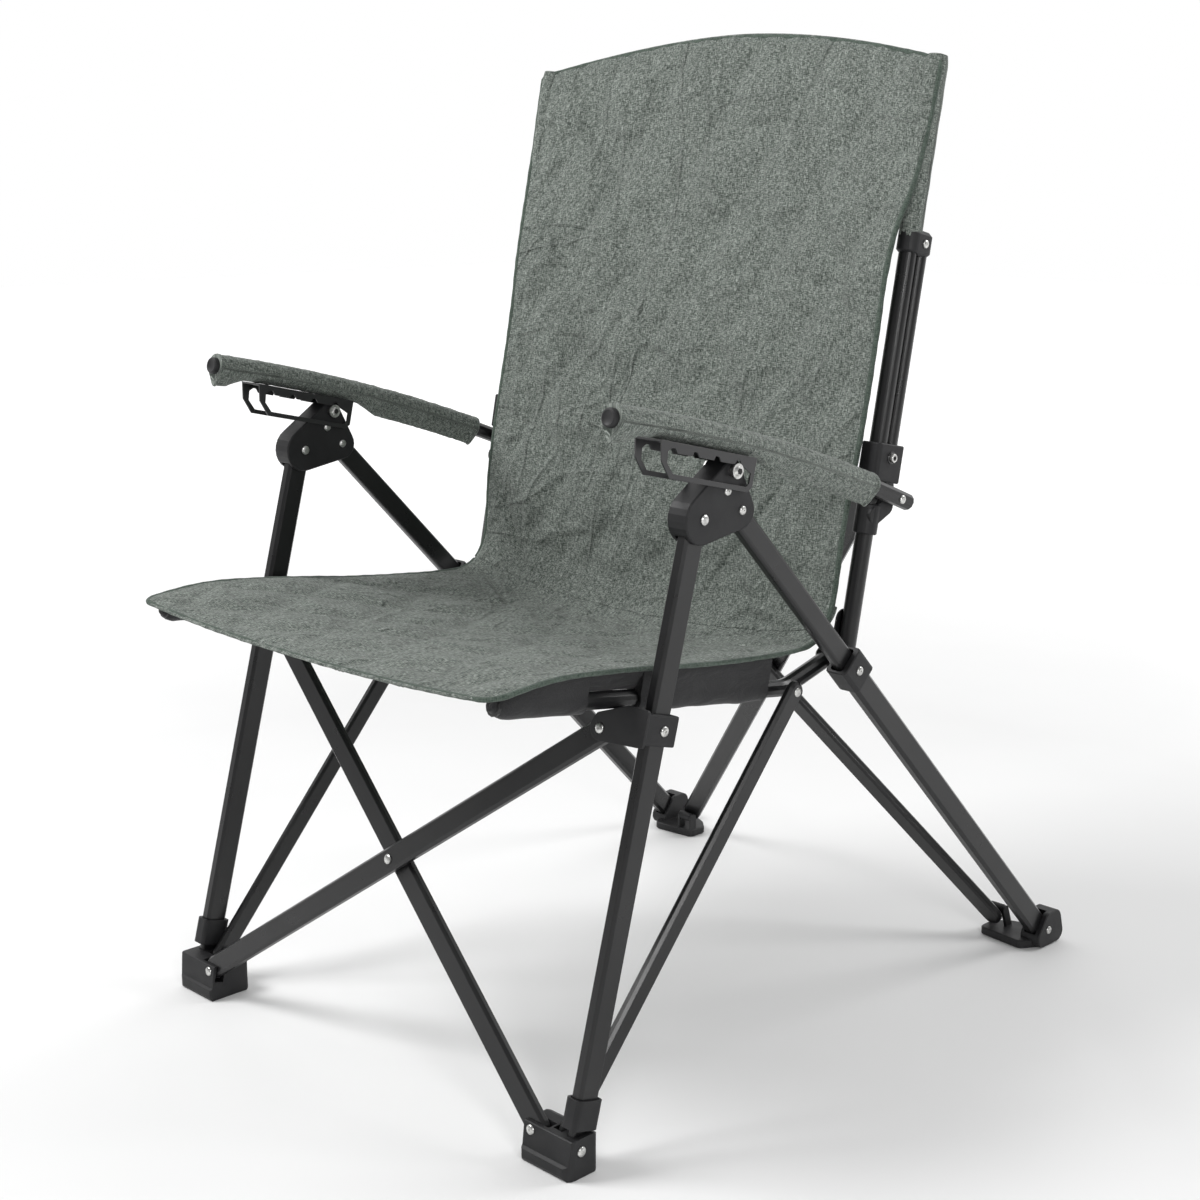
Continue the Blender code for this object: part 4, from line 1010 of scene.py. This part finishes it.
for side, label in SIDES:
    outward = X * side
    foot_rivets(side, label)
    bracket_rivets(side, label)
    hub_rivets(side, label)
    rivet_head("strut_rivet_top_" + label, "side_strut_" + label,
               at(side * 0.2969, 0.343, 0.404), outward, 0.0048, 0.0010)
    rivet_head("carriage_rivet_" + label, "seat_carriage_" + label,
               along_rear(side, 0.2965, 0.3243), outward, 0.0050)
    socket_screw("clamp_screw_" + label, "back_clamp_" + label,
                 post_point(side, 0.216, 0.0095, 0.0128), outward, 0.0050, 0.0036)
    rivet_head("guide_cap_rivet_" + label, "back_guide_" + label,
               post_point(side, 0.439, 0.0120, 0.0124), outward, 0.0044, 0.0016)
    rivet_head("arm_end_rivet_out_" + label, "armrest_" + label,
               at(side * 0.3188, 0.480, 0.5895), outward, 0.0046, 0.0018)
    rivet_head("rear_foot_rivet_" + label, "rear_foot_" + label,
               at(side * 0.3244, 0.799, 0.0205), outward, 0.0048, 0.0018)
    ratchet_socket_shades(side, label)


# ---------------------------------------------------------------- floor, light, camera
def set_inputs(node, values):
    for socket, value in values.items():
        node.inputs[socket].default_value = value


def stage_floor():
    """A pale floor with painted light: it glows more with distance until it meets the backdrop."""
    look = Look("pale_floor", (0.86, 0.86, 0.86), 0.65)
    look.colour(look.ramp(look.noise("Object", (2, 2, 2), 3.0), [(0.3, (0.85, 0.85, 0.85)),
                                                                (0.7, (0.88, 0.88, 0.88))]))
    away = look.node("ShaderNodeVectorMath", operation="LENGTH")
    look.link(look.coordinates("Object", (1, 1, 1)), away.inputs[0])
    # painted light: emission that grows with distance from the chair brightens the far floor
    painted_floor_glow = look.node("ShaderNodeMapRange")
    set_inputs(painted_floor_glow, {"From Min": 1.2, "From Max": 4.0, "To Min": 0.0, "To Max": 0.6})
    look.link(away.outputs["Value"], painted_floor_glow.inputs["Value"])
    look.shader.inputs["Emission Color"].default_value = (1, 1, 1, 1)
    look.link(painted_floor_glow.outputs["Result"], look.shader.inputs["Emission Strength"])
    floor = new_object("floor", [(-12, -12, 0), (12, -12, 0), (12, 12, 0), (-12, 12, 0)], [(0, 1, 2, 3)],
                       look.material, smooth=False)
    floor.location.z = -0.0005


def area_light(name, place, target, size, power):
    data = bpy.data.lights.new(name, "AREA")
    data.size = size
    data.energy = power
    lamp = bpy.data.objects.new(name, data)
    bpy.context.scene.collection.objects.link(lamp)
    lamp.location = place
    lamp.rotation_euler = (Vector(target) - Vector(place)).to_track_quat("-Z", "Y").to_euler()


def studio_world():
    """White behind the chair as the camera sees it, and dimmer round the rest."""
    world = bpy.data.worlds.new("studio")
    world.use_nodes = True
    tree = world.node_tree
    backdrop = tree.nodes["Background"]
    backdrop.inputs["Color"].default_value = (1, 1, 1, 1)
    direction = tree.nodes.new("ShaderNodeTexCoord")
    facing = tree.nodes.new("ShaderNodeVectorMath")
    facing.operation = "DOT_PRODUCT"
    facing.inputs[1].default_value = (-0.70, 0.70, 0.12)
    strength = tree.nodes.new("ShaderNodeMapRange")
    strength.interpolation_type = "SMOOTHSTEP"
    set_inputs(strength, {"From Min": -0.05, "From Max": 0.72, "To Min": 0.30, "To Max": 1.0})
    tree.links.new(direction.outputs["Generated"], facing.inputs[0])
    tree.links.new(facing.outputs["Value"], strength.inputs["Value"])
    tree.links.new(strength.outputs["Result"], backdrop.inputs["Strength"])
    bpy.context.scene.world = world
    bpy.context.scene.view_settings.view_transform = "Standard"


def studio_camera(azimuth, elevation, place, lens):
    """A camera at place that looks level across the chair, turned by azimuth and tilted by elevation."""
    backward = Vector((math.sin(azimuth) * math.cos(elevation), -math.cos(azimuth) * math.cos(elevation),
                       math.sin(elevation)))
    data = bpy.data.cameras.new("camera")
    data.lens = lens
    data.sensor_width = 36
    camera = bpy.data.objects.new("camera", data)
    bpy.context.scene.collection.objects.link(camera)
    camera.location = place
    camera.rotation_euler = backward.to_track_quat("Z", "Y").to_euler()
    bpy.context.scene.camera = camera


stage_floor()
studio_world()
area_light("key", (-1.5, -1.7, 2.9), (0, 0, 0.5), 1.3, 78)
area_light("fill", (2.8, -1.4, 1.6), (0, 0, 0.5), 0.8, 26)
area_light("rim", (1.6, 2.4, 2.4), (0, 0, 0.6), 1.2, 34)
studio_camera(math.radians(45.405), math.radians(12.851), at(1.5057, -1.1322, 0.9334), 57.84)
